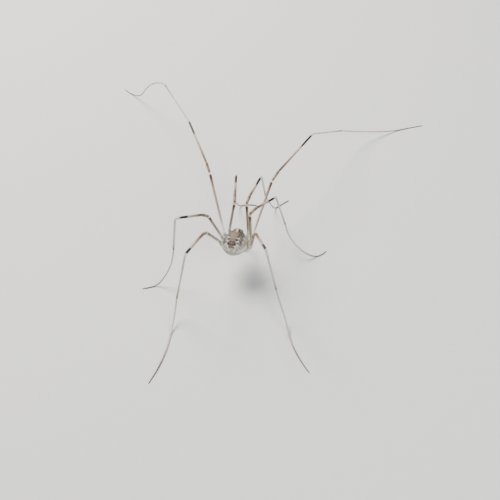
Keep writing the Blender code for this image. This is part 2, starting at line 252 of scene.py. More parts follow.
def feed(socket, value):
    """Link another node's output into a socket, or set a fixed value on it."""
    if isinstance(value, bpy.types.NodeSocket):
        socket.id_data.links.new(value, socket)
    elif socket.type == "RGBA":
        socket.default_value = (*value, 1)
    else:
        socket.default_value = value


def set_sockets(node, **sockets):
    for key, value in sockets.items():
        feed(node.inputs[key.replace("_", " ")], value)
    return node


def add_node(finish, kind, **sockets):
    """Add a node and feed its inputs, each named with _ for a space."""
    return set_sockets(finish.node_tree.nodes.new(kind), **sockets)


def shader_of(finish):
    return finish.node_tree.nodes["Principled BSDF"]


def new_finish(name, roughness, specular=0.4, subsurface=0.0):
    """A material with one shader, ready for a colour and a bump."""
    finish = bpy.data.materials.new(name)
    finish.use_nodes = True
    set_sockets(shader_of(finish), Roughness=roughness, Specular_IOR_Level=specular,
                Subsurface_Weight=subsurface, Subsurface_Radius=SKIN_GLOW)
    return finish


def body_places(finish):
    """Places on the animal in millimetres from the body's middle, for a pattern to read."""
    places = add_node(finish, "ShaderNodeTexCoord").outputs["Object"]
    mapping = add_node(finish, "ShaderNodeMapping", Vector=places, Location=-BODY_PLACE / MM,
                       Scale=(1 / MM, 1 / MM, 1 / MM))
    return mapping.outputs["Vector"]


def add_noise(finish, places, scale, detail=3.0, roughness=0.6):
    return add_node(finish, "ShaderNodeTexNoise", Vector=places, Scale=scale, Detail=detail,
                    Roughness=roughness).outputs["Fac"]


def add_cells(finish, places, scale):
    """Distance from the nearest of many scattered points, for freckles and grains."""
    return add_node(finish, "ShaderNodeTexVoronoi", Vector=places, Scale=scale).outputs["Distance"]


def remap(finish, value, low, high, to_low, to_high):
    return add_node(finish, "ShaderNodeMapRange", Value=value, From_Min=low, From_Max=high,
                    To_Min=to_low, To_Max=to_high).outputs["Result"]


def mix_colour(finish, share, first, second, mode="MIX"):
    """Mix two colours, each three numbers or another node's output, by a share."""
    node = add_node(finish, "ShaderNodeMix")
    node.data_type = "RGBA"
    node.blend_type = mode
    for index, value in ((0, share), (6, first), (7, second)):
        feed(node.inputs[index], value)
    return node.outputs[2]


def set_bump(finish, height, strength, depth):
    bump = add_node(finish, "ShaderNodeBump", Height=height, Strength=strength, Distance=depth * MM)
    set_sockets(shader_of(finish), Normal=bump.outputs["Normal"])

# %% Kinds of finishes


def painted_finish(name, roughness, fleck_scale, bump_scale, bump_depth, specular=0.4,
                   subsurface=0.0, freckles=0.0):
    """Skin whose painted colours are mottled by noise and whose surface is finely grained."""
    finish = new_finish(name, roughness, specular, subsurface)
    places = body_places(finish)
    reader = add_node(finish, "ShaderNodeAttribute")
    reader.attribute_name = "paint"
    fleck = add_noise(finish, places, fleck_scale, detail=4.0, roughness=0.65)
    light = remap(finish, fleck, 0.35, 0.68, 0.72, 1.12)
    colour = mix_colour(finish, 1.0, reader.outputs["Color"], light, "MULTIPLY")
    height = add_noise(finish, places, bump_scale, detail=2.0)
    if freckles:
        pale = remap(finish, add_cells(finish, places, freckles), 0.1, 0.2, 0.16, 0.0)
        colour = mix_colour(finish, pale, colour, PALETTE["white"])
        dark = remap(finish, add_cells(finish, places, freckles * 1.37), 0.12, 0.22, 0.35, 0.0)
        colour = mix_colour(finish, dark, colour, PALETTE["brown"] * 0.6)
        height = remap(finish, add_cells(finish, places, bump_scale), 0.0, 0.6, 1.0, 0.0)
    set_sockets(shader_of(finish), Base_Color=colour)
    set_bump(finish, height, 0.6, bump_depth)
    return finish


def two_tone_finish(name, roughness, specular, scale, first, second, span=(0.0, 1.0)):
    """A finish whose colour noise shifts between two, and that noise, for a bump."""
    finish = new_finish(name, roughness, specular)
    share = remap(finish, add_noise(finish, body_places(finish), scale), *span, 0.0, 1.0)
    set_sockets(shader_of(finish), Base_Color=mix_colour(finish, share, first, second))
    return finish, share


def wear(piece, finish):
    piece.data.materials.clear()
    piece.data.materials.append(finish)


def paint(piece, colours):
    """Keep one colour for each point of a piece, for its finish to read."""
    layer = piece.data.color_attributes.new("paint", "FLOAT_COLOR", "POINT")
    rows = np.ones((len(colours), 4), np.float32)
    rows[:, :3] = colours
    layer.data.foreach_set("color", rows.ravel())

# %% Finishes of the floor, the body and the legs
floor_finish, floor_grain = two_tone_finish("floor paper", 0.8, 0.2, 0.6, *FLOOR_COLOURS)
set_bump(floor_finish, floor_grain, 0.15, 0.05)
wear(floor, floor_finish)

body_finish = painted_finish("body cuticle", 0.55, 5.0, 22.0, 0.025, subsurface=0.06, freckles=7.0)
leg_finish = painted_finish("leg cuticle", 0.42, 4.0, 24.0, 0.012, subsurface=0.08, freckles=8.0)
print("finishes:", len(bpy.data.materials))

# %% [markdown]
# The body is one soft oval, widest just behind its middle. A sphere lying along the body's length
# gives its rings of points, and each ring is moved to its station and scaled to the width, crown and
# belly that the body has there. This keeps the oval smooth and its sizes exact, as when rings are
# moved by hand.

# %% Widths and heights along the body
AXIS_HEIGHT = 6.1
HALF_WIDTH = 2.07
CROWN = 1.55
WIDEST_AT = -0.5
FRONT_REACH = 3.35
REAR_REACH = 2.35
REAR_SWELL = (2.0, 0.58)
FRONT_WIDTH_SWELL = (1.45, 0.75)
FRONT_HEIGHT_SWELL = (1.7, 0.66)
BELLY_DEPTH = 1.35
LEG_BED_DEPTH = 0.74
BELLY_STEP_FRONT = -0.95
BELLY_STEP_REAR = -1.7
BODY_SIDES = 40
BODY_RINGS = 32


def swell(y, front):
    """Share of the full width or height that the body keeps at y."""
    if y < WIDEST_AT:
        gone, (power, root) = (WIDEST_AT - y) / REAR_REACH, REAR_SWELL
    else:
        gone, (power, root) = (y - WIDEST_AT) / FRONT_REACH, front
    return max(0.0, 1 - gone**power) ** root


def ease(value):
    """A soft step: 0 below 0, 1 above 1, with rounded ends."""
    value = np.clip(value, 0, 1)
    return value * value * (3 - 2 * value)


def belly_depth(y):
    step = float(ease((BELLY_STEP_FRONT - y) / (BELLY_STEP_FRONT - BELLY_STEP_REAR)))
    return LEG_BED_DEPTH + (BELLY_DEPTH - LEG_BED_DEPTH) * step


widths = {y: round(2 * HALF_WIDTH * swell(y, FRONT_WIDTH_SWELL), 1) for y in (-2, -1, 0, 1, 2)}
print("width of the body in mm at each y:", widths)

# %% The rounded body
oval = add_primitive("oval", bpy.ops.mesh.primitive_uv_sphere_add, segments=BODY_SIDES,
                     ring_count=BODY_RINGS, radius=1, rotation=(math.radians(-90), 0, 0))
bpy.ops.object.transform_apply()
turns = np.arccos(np.clip(points_of(oval)[:, 1], -1, 1)) / math.pi
ring_of = np.round(turns * BODY_RINGS).astype(int)
edit(oval)
for ring in range(BODY_RINGS + 1):
    angle = math.pi * ring / BODY_RINGS
    station = WIDEST_AT + math.cos(angle) * (FRONT_REACH if angle < math.pi / 2 else REAR_REACH)
    middle = (0, station, 0)
    pick(oval, lambda point: ring_of[point.index] == ring)
    shift((0, station - math.cos(angle), 0))
    if 0 < ring < BODY_RINGS:
        across = HALF_WIDTH * swell(station, FRONT_WIDTH_SWELL) / math.sin(angle)
        upright = swell(station, FRONT_HEIGHT_SWELL) / math.sin(angle)
        stretch((across, 1, 1), middle)
        for way, height in ((1, CROWN), (-1, belly_depth(station))):
            pick(oval, lambda point: ring_of[point.index] == ring and point.co.z * way > 0)
            stretch((1, 1, height * upright), middle)
bpy.ops.mesh.select_all(action="SELECT")
shift((0, 0, AXIS_HEIGHT))
done()
add_modifier(oval, "SUBSURF", levels=1, render_levels=1)
print("oval in mm:", [round(float(side), 2) for side in np.ptp(points_of(oval), axis=0)])

# %% [markdown]
# Lobes grow out of this oval: the eye mound with a collar round each eye, the long plate under the
# belly, the hips that fan out below, and the lobes round the mouth. Round ones start as spheres and
# are shaped in edit mode. The hips are middle lines thickened to tubes, which keeps them on the
# frame's path.

# %% Places and sizes of the lobes
MOUND_CENTRE = Vector((0, 1.35, 7.18))
MOUND_HALF = Vector((0.36, 0.42, 0.48))
MOUND_FURROW = (0.07, 0.05)
EYE_RADIUS = 0.16
EYE_OFFSET = Vector((0.38, 0.05, 0.2))
COLLAR_IN = Vector((0.09, 0, 0))
COLLAR_RADIUS = 0.19
PLATE_CENTRE = Vector((0, 0.0, 4.76))
PLATE_HALF = (0.3, 1.35, 0.29)
PLATE_WIDTHS = [((0.35, 2), 0.88), ((0.8, 2), 0.8), ((-2, -0.5), 1.5)]
TUBE_SIDES = 16
HIPS = {
    1: [(0.82, 1.75, 4.75), (1.25, 2.05, 4.8), (1.6, 2.4, 5.8)],
    2: [(0.8, 1.0, 4.75), (1.75, 1.38, 4.8), (2.32, 1.7, 5.7)],
    3: [(0.8, 0.28, 4.75), (1.9, 0.58, 4.8), (2.45, 0.82, 5.6)],
    4: [(0.8, -0.45, 4.75), (2.0, -0.33, 4.8), (2.65, -0.15, 5.6)],
}
HIP_RISE_SHARES = (0.25, 0.55, 0.62)
HIP_RADII = [0.2, 0.27, 0.3, 0.3, 0.3, 0.28, 0.22]
HEAD_AND_BED_LOBES = [
    ((0.0, 1.95, 5.62), (0.72, 0.66, 0.46)),
    ((0.0, 1.75, 5.1), (0.42, 0.5, 0.32)),
    ((0.17, 2.52, 5.66), (0.16, 0.2, 0.13)),
    ((-0.17, 2.52, 5.66), (0.16, 0.2, 0.13)),
    ((0.0, 0.95, 5.2), (1.5, 1.35, 0.42)),
    ((0.0, 0.1, 5.2), (1.75, 1.0, 0.42)),
    ((0.0, -0.95, 5.1), (1.15, 0.95, 0.42)),
]
MOUTH_PLACE, MOUTH_HALF = (0.24, 1.95, 4.78), (0.15, 0.34, 0.17)
PALP_HIP = [(0.6, 1.7, 5.15), (0.82, 2.2, 5.02), (1.02, 2.62, 4.97)]
PALP_HIP_RADII = [0.26, 0.25, 0.23]
print("legs on each side:", len(HIPS))

# %% Balls, tubes and hips


def mirrored(place, side):
    """The same place on the animal's left or right."""
    x, y, z = place
    return Vector((-x if side == "left" else x, y, z))


def add_ball(name, centre, half_size, segments=24, rings=16):
    """A sphere at its place, stretched to its size."""
    ball = add_primitive(name, bpy.ops.mesh.primitive_uv_sphere_add, segments=segments,
                         ring_count=rings, radius=1, location=centre)
    edit(ball, "SELECT")
    stretch(half_size, centre)
    done()
    bpy.ops.object.transform_apply()
    return ball


def add_tube(name, points, radii, sides=TUBE_SIDES):
    """A middle line with its own thickness at each point, rounded and turned into a mesh."""
    line = bpy.data.curves.new(name, "CURVE")
    line.dimensions = "3D"
    line.twist_mode = "MINIMUM"
    line.bevel_depth = 1
    line.bevel_resolution = (sides - 4) // 2
    line.use_fill_caps = True
    spline = line.splines.new("POLY")
    spline.points.add(len(points) - 1)
    for knot, place, radius in zip(spline.points, points, radii):
        knot.co = (*place, 1)
        knot.radius = radius
    only(new_object(name, line))
    bpy.ops.object.convert(target="MESH")
    tube = new_piece(name)
    edit(tube, "SELECT")
    bpy.ops.mesh.remove_doubles(threshold=0.0001)
    bpy.ops.mesh.normals_make_consistent(inside=False)
    done()
    return tube


def add_hip(side, pair):
    """A coxa: a stout cone from under the body out to the elbow and up to its rim."""
    root, elbow, hip = (mirrored(place, side) for place in HIPS[pair])
    inner = root.lerp(Vector((0, root.y * 0.8, root.z + 0.25)), 0.35)
    points = [inner, root, root.lerp(elbow, 0.5), elbow]
    points += [elbow.lerp(hip, share) for share in HIP_RISE_SHARES]
    return add_tube("hip", points, HIP_RADII)

# %% Lobes of the body
mound = add_ball("mound", MOUND_CENTRE, MOUND_HALF, segments=32, rings=24)
edit(mound)
crest = MOUND_CENTRE.z + MOUND_HALF.z * 0.75
furrow_half, furrow_depth = MOUND_FURROW
pick(mound, lambda point: point.co.z > crest and abs(point.co.x) < furrow_half)
shift((0, 0, -furrow_depth))
done()

plate = add_ball("plate", PLATE_CENTRE, PLATE_HALF)
edit(plate)
for (rear, front), share in PLATE_WIDTHS:
    pick(plate, lambda point: rear < point.co.y < front)
    stretch((share, 1, 1), PLATE_CENTRE)
done()

lobes = [mound, plate] + [add_ball("lobe", centre, half) for centre, half in HEAD_AND_BED_LOBES]
for side in SIDES:
    collar_place = MOUND_CENTRE + mirrored(EYE_OFFSET - COLLAR_IN, side)
    lobes.append(add_ball("collar", collar_place, Vector((1, 1, 1)) * COLLAR_RADIUS))
    lobes.append(add_ball("mouth lobe", mirrored(MOUTH_PLACE, side), MOUTH_HALF))
    lobes.append(add_tube("palp hip", [mirrored(place, side) for place in PALP_HIP], PALP_HIP_RADII))
    lobes += [add_hip(side, pair) for pair in HIPS]
print("lobes:", len(lobes))

# %% [markdown]
# The oval and its lobes are joined and remeshed with small voxels, which melts them into one closed
# skin, so that no seam shows where a hip or the eye mound leaves the body. A light smoothing rounds
# the valleys. Then the back is carved: cross furrows part its plates, and a shallow fold runs along
# each flank.

# %% One skin for body, head and hips
VOXEL = 0.036
SMOOTHINGS = 5
FURROWS = [(0.55, 0.06), (1.0, 0.03), (-0.3, 0.036), (-0.85, 0.04), (-1.38, 0.045), (-1.85, 0.05),
           (-2.25, 0.055)]
BELLY_FURROWS = (-1.15, -1.55, -1.95, -2.3)
BELLY_FURROW_DEPTH = 0.04
FURROW_WIDTH = 0.05
FOLD_WIDTH = 0.07
FOLD_DEPTH = 0.045

body_skin = join("body_skin", [oval] + lobes)
add_modifier(body_skin, "REMESH", mode="VOXEL", voxel_size=VOXEL)
add_modifier(body_skin, "SMOOTH", factor=0.5, iterations=SMOOTHINGS)


def bell(value, width):
    """A soft bump: 1 where the value is 0, fading away over the width."""
    return np.exp(-((value / width) ** 2))


def furrow_line(x, y):
    """Where a furrow lies at x: the rear ones bow backwards at the sides."""
    return y - 0.05 * x * x * (y < 0.5)


def carve(places, arrows):
    """Press furrows into the back and a fold into the flanks, along the surface's normals."""
    x, y, z = places.T
    on_back = ease((z - AXIS_HEIGHT + 0.1) / 0.5) * ease(arrows[:, 2] * 2 + 0.4)
    off_mound = ease((np.hypot(x, y - MOUND_CENTRE.y) - 0.55) / 0.2)
    under = ease((AXIS_HEIGHT - 0.15 - z) / 0.5) * (y < -0.7)
    depth = sum(deep * bell(y - furrow_line(x, at), FURROW_WIDTH) * on_back for at, deep in FURROWS)
    depth += sum(BELLY_FURROW_DEPTH * bell(y - at, FURROW_WIDTH) * under for at in BELLY_FURROWS)
    flank = bell(z - AXIS_HEIGHT - 0.12 * np.cos(y * 2), FOLD_WIDTH) * (np.abs(x) > 0.6 * HALF_WIDTH)
    depth += FOLD_DEPTH * flank * ease((1.2 - y) / 0.4) * ease((y + 2.7) / 0.4)
    return places - arrows * (depth * off_mound)[:, None]


move_points(body_skin, carve(points_of(body_skin), points_of(body_skin, "normal")))
print("body skin triangles:", 2 * len(body_skin.data.polygons))

# %% [markdown]
# The back carries a darker saddle, tan in front and plum towards the rear, with a row of black dots on
# each side and a pale crescent round the outer rear of each dot. Dark slate flanks with pale spots
# fade to near white at the edges and the rear. A rule on the place of each point mixes these from soft
# masks.

# %% Marks of the back
SADDLE_AT = [-2.85, -2.5, -2.25, -1.66, -0.9, -0.2, 0.35, 1.0, 1.6, 2.1, 2.85]
SADDLE_HALF = [0.0, 0.2, 0.5, 0.6, 0.7, 0.8, 0.8, 0.64, 0.52, 0.42, 0.3]
DOTS = [(0.64, 0.98, 0.14), (0.76, 0.36, 0.14), (0.69, -0.2, 0.15), (0.64, -0.9, 0.16),
        (0.54, -1.65, 0.16)]
CRESCENT_RADIUS = 2.05
CRESCENT_WIDTH = 0.42
PALE_SPOTS = [(1.5, -0.1, 0.07), (0.98, -0.66, 0.05), (0.62, -2.23, 0.12), (1.6, -0.85, 0.07),
              (1.02, -1.75, 0.1)]
REAR_PAIR = (Vector((0.41, -2.6, 6.72)), 0.13)
DARK_SPOTS = [(1.34, -1.05, 0.17), (1.45, -0.42, 0.16), (1.33, 0.22, 0.15), (1.1, -0.42, 0.1),
              (1.02, 0.55, 0.13), (1.0, 1.05, 0.12)]


def lay(tint, colours, share, tone=1.0):
    """Lay a tint, by its name or as numbers, over rows of colours by a share for each row."""
    tint = (PALETTE[tint] if isinstance(tint, str) else tint) * tone
    colours += (tint - colours) * np.reshape(np.clip(share, 0, 1), (-1, 1))
    return colours


def waves(x, y, z, seed):
    """Smooth uneven values from -1 to 1, for edges that aren't drawn with a ruler."""
    total = np.sin(5.1 * x + 3.7 * y + seed) + np.sin(7.3 * y - 4.1 * z + 2 * seed)
    return (total + np.sin(12.6 * x - 6.1 * z + 3 * seed)) / 3


def spots(x, y, table, reach, squash=1.0):
    """For each spot of a table, a share that is 1 on it and fades past its edge."""
    for spot_x, spot_y, size in table:
        yield ease(reach - np.hypot((x - spot_x) * squash, y - spot_y) / size)


def gap_to(x, y, z, place):
    return np.hypot(np.hypot(x - place.x, y - place.y), z - place.z)

# %% Colours of the back


def back_colours(x, y, z, arrows):
    """Ground, flanks, saddle and spots of the back; x is taken from the middle of the pattern."""
    out = np.abs(x)
    ragged = waves(x, y, z, 1.0)
    top = z > AXIS_HEIGHT + 0.3
    bands = np.sin(2 * math.pi * (y + 0.06 * out**2) / 0.46) * ease((-1.5 - y) / 0.3)
    colours = PALETTE["grey"] * (1 - 0.07 * bands)[:, None]

    half = np.interp(y, SADDLE_AT, SADDLE_HALF) + (0.05 + 0.13 * ease((y - 1.7) / 0.6)) * ragged
    flank = ease((out - half + 0.05) / 0.14) * ease((1.72 - out + 0.1 * ragged) / 0.24)
    hem = AXIS_HEIGHT + 0.2 - 0.4 * ease((y + 1.4) / 1.2)
    flank *= ease((y + 1.85 + 0.2 * ragged) / 0.5) * ease((z - hem) / 0.3) * ease((2.5 - y) / 0.5)
    slate = PALETTE["slate"] * (1.0 - 0.2 * ease((y + 0.9) / 1.2))[:, None]
    lay(slate, colours, flank * (0.92 + 0.16 * waves(1.3 * x, 1.3 * y, z, 4.0)))
    lay("brown", colours, 0.4 * flank * bell(out - half - 0.1, 0.28) * ease((y + 1.2) / 0.8), 0.8)
    for share in spots(out, y, DARK_SPOTS, 1.5, 1.2):
        lay("plum", colours, 0.6 * share * top, 0.8)

    saddle = (1 - ease((out - half) / 0.1 + 0.5)) * ease((y + 2.5) / 0.5) * (arrows[:, 2] > -0.2)
    front = ease((y + 1.35) / 0.7) + 0.25 * ease((-1.75 - y) / 0.4)
    plum_to_tan = PALETTE["plum"] + (PALETTE["tan"] - PALETTE["plum"]) * front[:, None]
    lay(plum_to_tan, colours, 0.94 * saddle)
    lay("tan", colours, 0.2 * bell(out, 0.14) * ease((y + 2.2) / 0.5) * top, 1.15)
    for at, deep in FURROWS:
        if deep > 0.034 and at > -1.5:
            bar = bell(y - furrow_line(x, at) - 0.04, 0.07) * top
            lay("brown", colours, 0.3 * bar * saddle, 0.7)
    edge = bell(out - half - 0.01, 0.05) * ease((y + 2.0) / 0.3) * ease((2.4 - y) / 0.4) * top
    lay("black", colours, 0.45 * edge * (0.6 + 0.4 * ragged))

    for spot_x, spot_y, size in DOTS:
        near = np.hypot(out - spot_x, y - spot_y) / size
        crescent = bell(near - CRESCENT_RADIUS, CRESCENT_WIDTH) * ease((spot_y - y) / size * 0.7 + 0.3)
        crescent *= ease((out - spot_x) / size * 0.6 + 0.9) * top * (spot_y < 0.1)
        lay("white", colours, 0.9 * crescent)
        lay("black", colours, 0.98 * ease(1.65 - near) * top, 0.6)
    for share in spots(out, y, PALE_SPOTS, 1.6):
        lay("white", colours, 0.85 * share * (z > AXIS_HEIGHT))
    spot, size = REAR_PAIR
    return lay("white", colours, ease(1.7 - gap_to(out, y, z, spot) / size), 1.05)


# %% [markdown]
# Then come the parts round the back: the pale rim, the eye mound with its white crest, the cream
# underside, the ivory hips and the two small gland openings of the head. Last, every groove is
# darkened with painted shade: a smoothed copy of the skin shows how deep each point lies.

# %% Colours of the whole body
SADDLE_LEAN = -0.19
PORE = Vector((1.42, 1.45, 6.02))
HOLLOW_ROUNDS = 12


def hollows(piece):
    """How far each point lies below the smoothed surface round it, which is most in grooves."""
    ends = np.array([tuple(edge.vertices) for edge in piece.data.edges])
    start = smooth = points_of(piece)
    neighbours = np.bincount(ends.ravel(), minlength=len(start))[:, None]
    for _ in range(HOLLOW_ROUNDS):
        total = np.zeros_like(start)
        np.add.at(total, ends[:, 0], smooth[ends[:, 1]])
        np.add.at(total, ends[:, 1], smooth[ends[:, 0]])
        smooth = total / neighbours
    return ((smooth - start) * points_of(piece, "normal")).sum(axis=1)


def body_colours(places, arrows, depth):
    x, y, z = places.T
    out = np.abs(x)
    lean = SADDLE_LEAN * ease((y + 2.6) / 0.8) * ease((1.2 - y) / 0.9) * ease((z - AXIS_HEIGHT) / 0.8)
    colours = back_colours(x - lean, y, z, arrows)
    rim_height = AXIS_HEIGHT + 0.35 - 0.4 * ease((y + 1.4) / 1.2)
    rim = bell(z - rim_height + 0.06 * np.sin(3 * y), 0.2) * (out > 0.9)
    lay("white", colours, 0.75 * rim)

    mound = 1 - ease((np.hypot(x, y - MOUND_CENTRE.y) - 0.4) / 0.12)
    mound *= z > MOUND_CENTRE.z - 0.05
    lay("tan", colours, 0.8 * mound, 1.15)
    crest = bell(x, 0.22) * ease((z - MOUND_CENTRE.z - 0.1) / 0.2)
    lay("white", colours, 0.95 * crest * mound)
    eye_gap = gap_to(out, y, z, MOUND_CENTRE + EYE_OFFSET)
    lay("brown", colours, 0.8 * ease((0.25 - eye_gap) / 0.05))

    under = ease((AXIS_HEIGHT - 0.1 - z) / 0.35)
    lay("belly", colours, under)
    hips = ease((out - 1.75) / 0.15) * (z < AXIS_HEIGHT - 0.15)
    lay("ivory", colours, hips)
    flecks = under * ease(waves(x * 2.2, y * 2.2, z * 2.2, 7.0) * 2.2 - 0.9)
    lay("brown", colours, 0.4 * flecks)
    lay("black", colours, 0.9 * ease((0.12 - gap_to(out, y, z, PORE)) / 0.05))
    stripes = under * (y < -0.9) * bell((y * 2.3) % 1 - 0.5, 0.16)
    lay("fawn", colours, 0.3 * stripes)
    specks = ease(waves(x * 3.1, y * 3.1, z * 3.1, 11.0) * 3.0 - 0.9) * ease((y - 0.3) / 0.6)
    lay("brown", colours, 0.45 * specks * (1 - mound), 0.8)
    # Painted shade: points lying deep in grooves and between lobes are darkened with brown.
    return lay("brown", colours, 0.7 * ease((depth - 0.003) / 0.02), 0.7)


body_points, body_arrows = points_of(body_skin), points_of(body_skin, "normal")
body_hollows = hollows(body_skin)
body_paint = body_colours(body_points, body_arrows, body_hollows)
paint(body_skin, body_paint)
print("painted points:", len(body_points), "deepest hollow:", round(float(body_hollows.max()), 3))

# %% [markdown]
# A finished piece is shaded smooth, gets its finish, and is shrunk to life size about the body's
# middle and moved to its place, which its own points keep. It rides on the model's one body and hides
# the solids of the frame that it stands for.

# %% Finish a piece


def finish_piece(piece, finish, slot, *stands_for):
    """Dress a piece, shrink it to life size over the frame, hang it on the body and hide the solids it
    stands for.
    """
    only(piece)
    bpy.ops.object.shade_smooth()
    wear(piece, finish)
    piece.scale = (MM, MM, MM)
    piece.location = BODY_PLACE
    bpy.ops.object.transform_apply()
    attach(piece, "root")
    if stands_for:
        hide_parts(*stands_for)


hip_nodes = ["%s_leg_%d_coxa" % (side, pair) for side in SIDES for pair in HIPS]
finish_piece(body_skin, body_finish, "abdomen", "abdomen", "carapace", *hip_nodes)
print("solids under the body skin:", 2 + len(hip_nodes))

# %% [markdown]
# The eyes are two black beads, one on each side of the mound, sunk to half their depth in a collar of
# skin. A bead flattened a little on its outer side is enough for the form. Its finish is a near black
# with a clear coat over it, so that each eye catches the light in one small point.

# %% Eyes
EYE_FLAT_FROM = 0.8
EYE_FLATNESS = 0.9
EYE_COLOURS = ((0.006, 0.005, 0.005), (0.03, 0.018, 0.014))

eye_finish, _ = two_tone_finish("eye", 0.12, 0.7, 6.0, *EYE_COLOURS, span=(0.4, 0.7))
set_sockets(shader_of(eye_finish), Coat_Weight=0.8, Coat_Roughness=0.04)

for side in SIDES:
    centre = MOUND_CENTRE + mirrored(EYE_OFFSET, side)
    eye = add_ball(side + "_eye_bead", centre, Vector((1, 1, 1)) * EYE_RADIUS, 32, 24)
    edit(eye)
    pick(eye, lambda point: abs(point.co.x) > EYE_OFFSET.x + EYE_RADIUS * EYE_FLAT_FROM)
    stretch((1, EYE_FLATNESS, EYE_FLATNESS), centre)
    done()
    finish_piece(eye, eye_finish, "eye", side + "_eye")
print("eyes:", EYE_RADIUS * 2, "mm across")

# %% [markdown]
# Each leg is one long tube with seven lengths: trochanter, femur, patella, tibia, metatarsus, tarsus
# and claw. Its middle line repeats the frame's, from the same lengths and angles, so the thin real leg
# lies in the middle of the frame's thicker solids. Only the feet are set lower, flat on the floor.

# %% Lengths and directions of the legs
LENGTH_NAMES = ("trochanter", "femur", "patella", "tibia", "metatarsus", "tarsus")
TROCHANTER, FEMUR, PATELLA, TIBIA, METATARSUS, TARSUS = range(len(LENGTH_NAMES))
LEG_LENGTHS = {
    1: [6.7, 1.5, 5.1, 6.9, 10.0],
    2: [11.0, 2.1, 10.8, 10.8, 21.0],
    3: [6.9, 1.5, 5.0, 7.7, 10.4],
    4: [8.5, 1.8, 6.4, 12.8, 14.6],
}
LEG_POSE = {
    ("left", 1): [(-83, 83), (12, 13), (12, -6), (19, -78), ((39, -25, -97), 53, 1.4, 3.0)],
    ("right", 1): [(-60, 85), (8, 16), (8, -3), (11, -71), ((12, 28, 40), 65, 1.4, 2.5)],
    ("left", 2): [(28, 19), (33, 22), (33, 4), (41, 3), ((41, 50, 62), 24, 6.0, 1.3)],
    ("right", 2): [(5, 17), (22, 22), (22, 5), (29, -28), ((29, 54, 60), 34, 2.9, 4.0)],
    ("left", 3): [(139, 69), (138, 42), (138, 23), (81, -84), ((156, 129, 118), 83, 1.5, 1.5)],
    ("right", 3): [(-112, 87), (28, 5), (28, -14), (58, -74), ((154, 104, 30), 26, 1.5, 1.5)],
    ("left", 4): [(173, 56), (173, 39), (173, 20), (71, -79), ((181, 186, 168), 60, 2.0, 6.4)],
    ("right", 4): [(162, 63), (154, 48), (154, 29), (31, -76), ((123, 155, 135), 70, 2.0, 3.4)],
}
BEND_RADIUS = 0.32
HIP_BEND_RADIUS = 0.45
BEND_STEP = 9
HIP_STUB = 0.5
TARSUS_STEPS = 12
LANDING_STEPS = 5
FLAT_STEPS = 3
TIP_RADIUS = 0.06
LANDING_SLOPES = (-10.0, 89.0)
SEARCH_STEPS = 50
print("legs:", len(LEG_POSE))

# %% Bends and feet


def direction(side, heading, rise):
    """Unit vector from a heading, outwards from straight ahead, and a rise."""
    out = math.sin(math.radians(heading)) * math.cos(math.radians(rise))
    ahead = math.cos(math.radians(heading)) * math.cos(math.radians(rise))
    return mirrored((out, ahead, math.sin(math.radians(rise))), side)


def bend(corner, before, after, radius=BEND_RADIUS):
    """Points of the round bend that takes the place of a corner."""
    turn = before.angle(after)
    start = corner - before * radius * math.tan(turn / 2)
    inward = (after - before * before.dot(after)).normalized()
    centre = start + inward * radius
    steps = max(1, math.ceil(math.degrees(turn) / BEND_STEP))
    spokes = [turn * step / steps for step in range(steps + 1)]
    return [centre + (before * math.sin(angle) - inward * math.cos(angle)) * radius for angle in spokes]


def tarsus_walk(start, side, pose, length, landing_pitch):
    """Points of a tarsus that leaves its joint, nears the floor, bends level and lies flat."""
    headings, first_pitch, landing, flat = pose
    stretches = [
        (length - landing - flat, TARSUS_STEPS, first_pitch, landing_pitch),
        (landing, LANDING_STEPS, landing_pitch, 0),
        (flat, FLAT_STEPS, 0, 0),
    ]
    points = [start.copy()]
    gone = 0
    for reach, steps, pitch_from, pitch_to in stretches:
        for step in range(steps):
            gone += reach / steps
            heading = float(np.interp(gone / length, (0, 0.5, 1), headings))
            pitch = pitch_from + (pitch_to - pitch_from) * (step + 0.5) / steps
            points.append(points[-1] + direction(side, heading, -pitch) * reach / steps)
    return points


def tarsus_points(start, side, pose, length):
    """The walk whose landing pitch brings the foot's end exactly to the floor."""
    low, high = LANDING_SLOPES
    for _ in range(SEARCH_STEPS):
        middle = (low + high) / 2
        if tarsus_walk(start, side, pose, length, middle)[-1].z > TIP_RADIUS:
            low = middle
        else:
            high = middle
    return tarsus_walk(start, side, pose, length, middle)

# %% Middle line of a leg


def leg_line(side, pair):
    """The points of the leg's middle line, in one list for each of its lengths."""
    *turns, foot_pose = LEG_POSE[side, pair]
    femur, patella, tibia, metatarsus = (direction(side, *turn) for turn in turns)
    elbow, hip = (mirrored(place, side) for place in HIPS[pair][1:])
    corners = [hip]
    for arrow, length in zip((femur, patella, tibia, metatarsus), LEG_LENGTHS[pair]):
        corners.append(corners[-1] + arrow * length)
    _, knee, joint, shin_end, ankle = corners
    neck = hip + femur * HIP_STUB
    hip_bend = bend(hip, (hip - elbow).normalized(), femur, HIP_BEND_RADIUS)
    knee_bend = bend(knee, femur, patella)
    shin_bend = bend(shin_end, tibia, metatarsus)
    half_bend = (len(shin_bend) + 1) // 2
    downward = direction(side, foot_pose[0][0], -foot_pose[1])
    setback = BEND_RADIUS * math.tan(metatarsus.angle(downward) / 2)
    ankle_bend = bend(ankle + metatarsus * setback, metatarsus, downward)
    foot = tarsus_points(ankle_bend[-1], side, foot_pose, LEG_LENGTHS[pair][TARSUS - 1] - setback * 2)
    return [
        [elbow.lerp(hip, 0.4)] + hip_bend + [neck],
        [neck, knee_bend[0]],
        knee_bend + [joint],
        [joint] + shin_bend[:half_bend],
        shin_bend[half_bend - 1:] + [ankle],
        [ankle] + ankle_bend[1:-1] + foot,
    ]


ends = {key: leg_line(*key)[-1][-1] for key in LEG_POSE}
print("feet at mm:", {key: [round(part, 1) for part in end] for key, end in ends.items()})

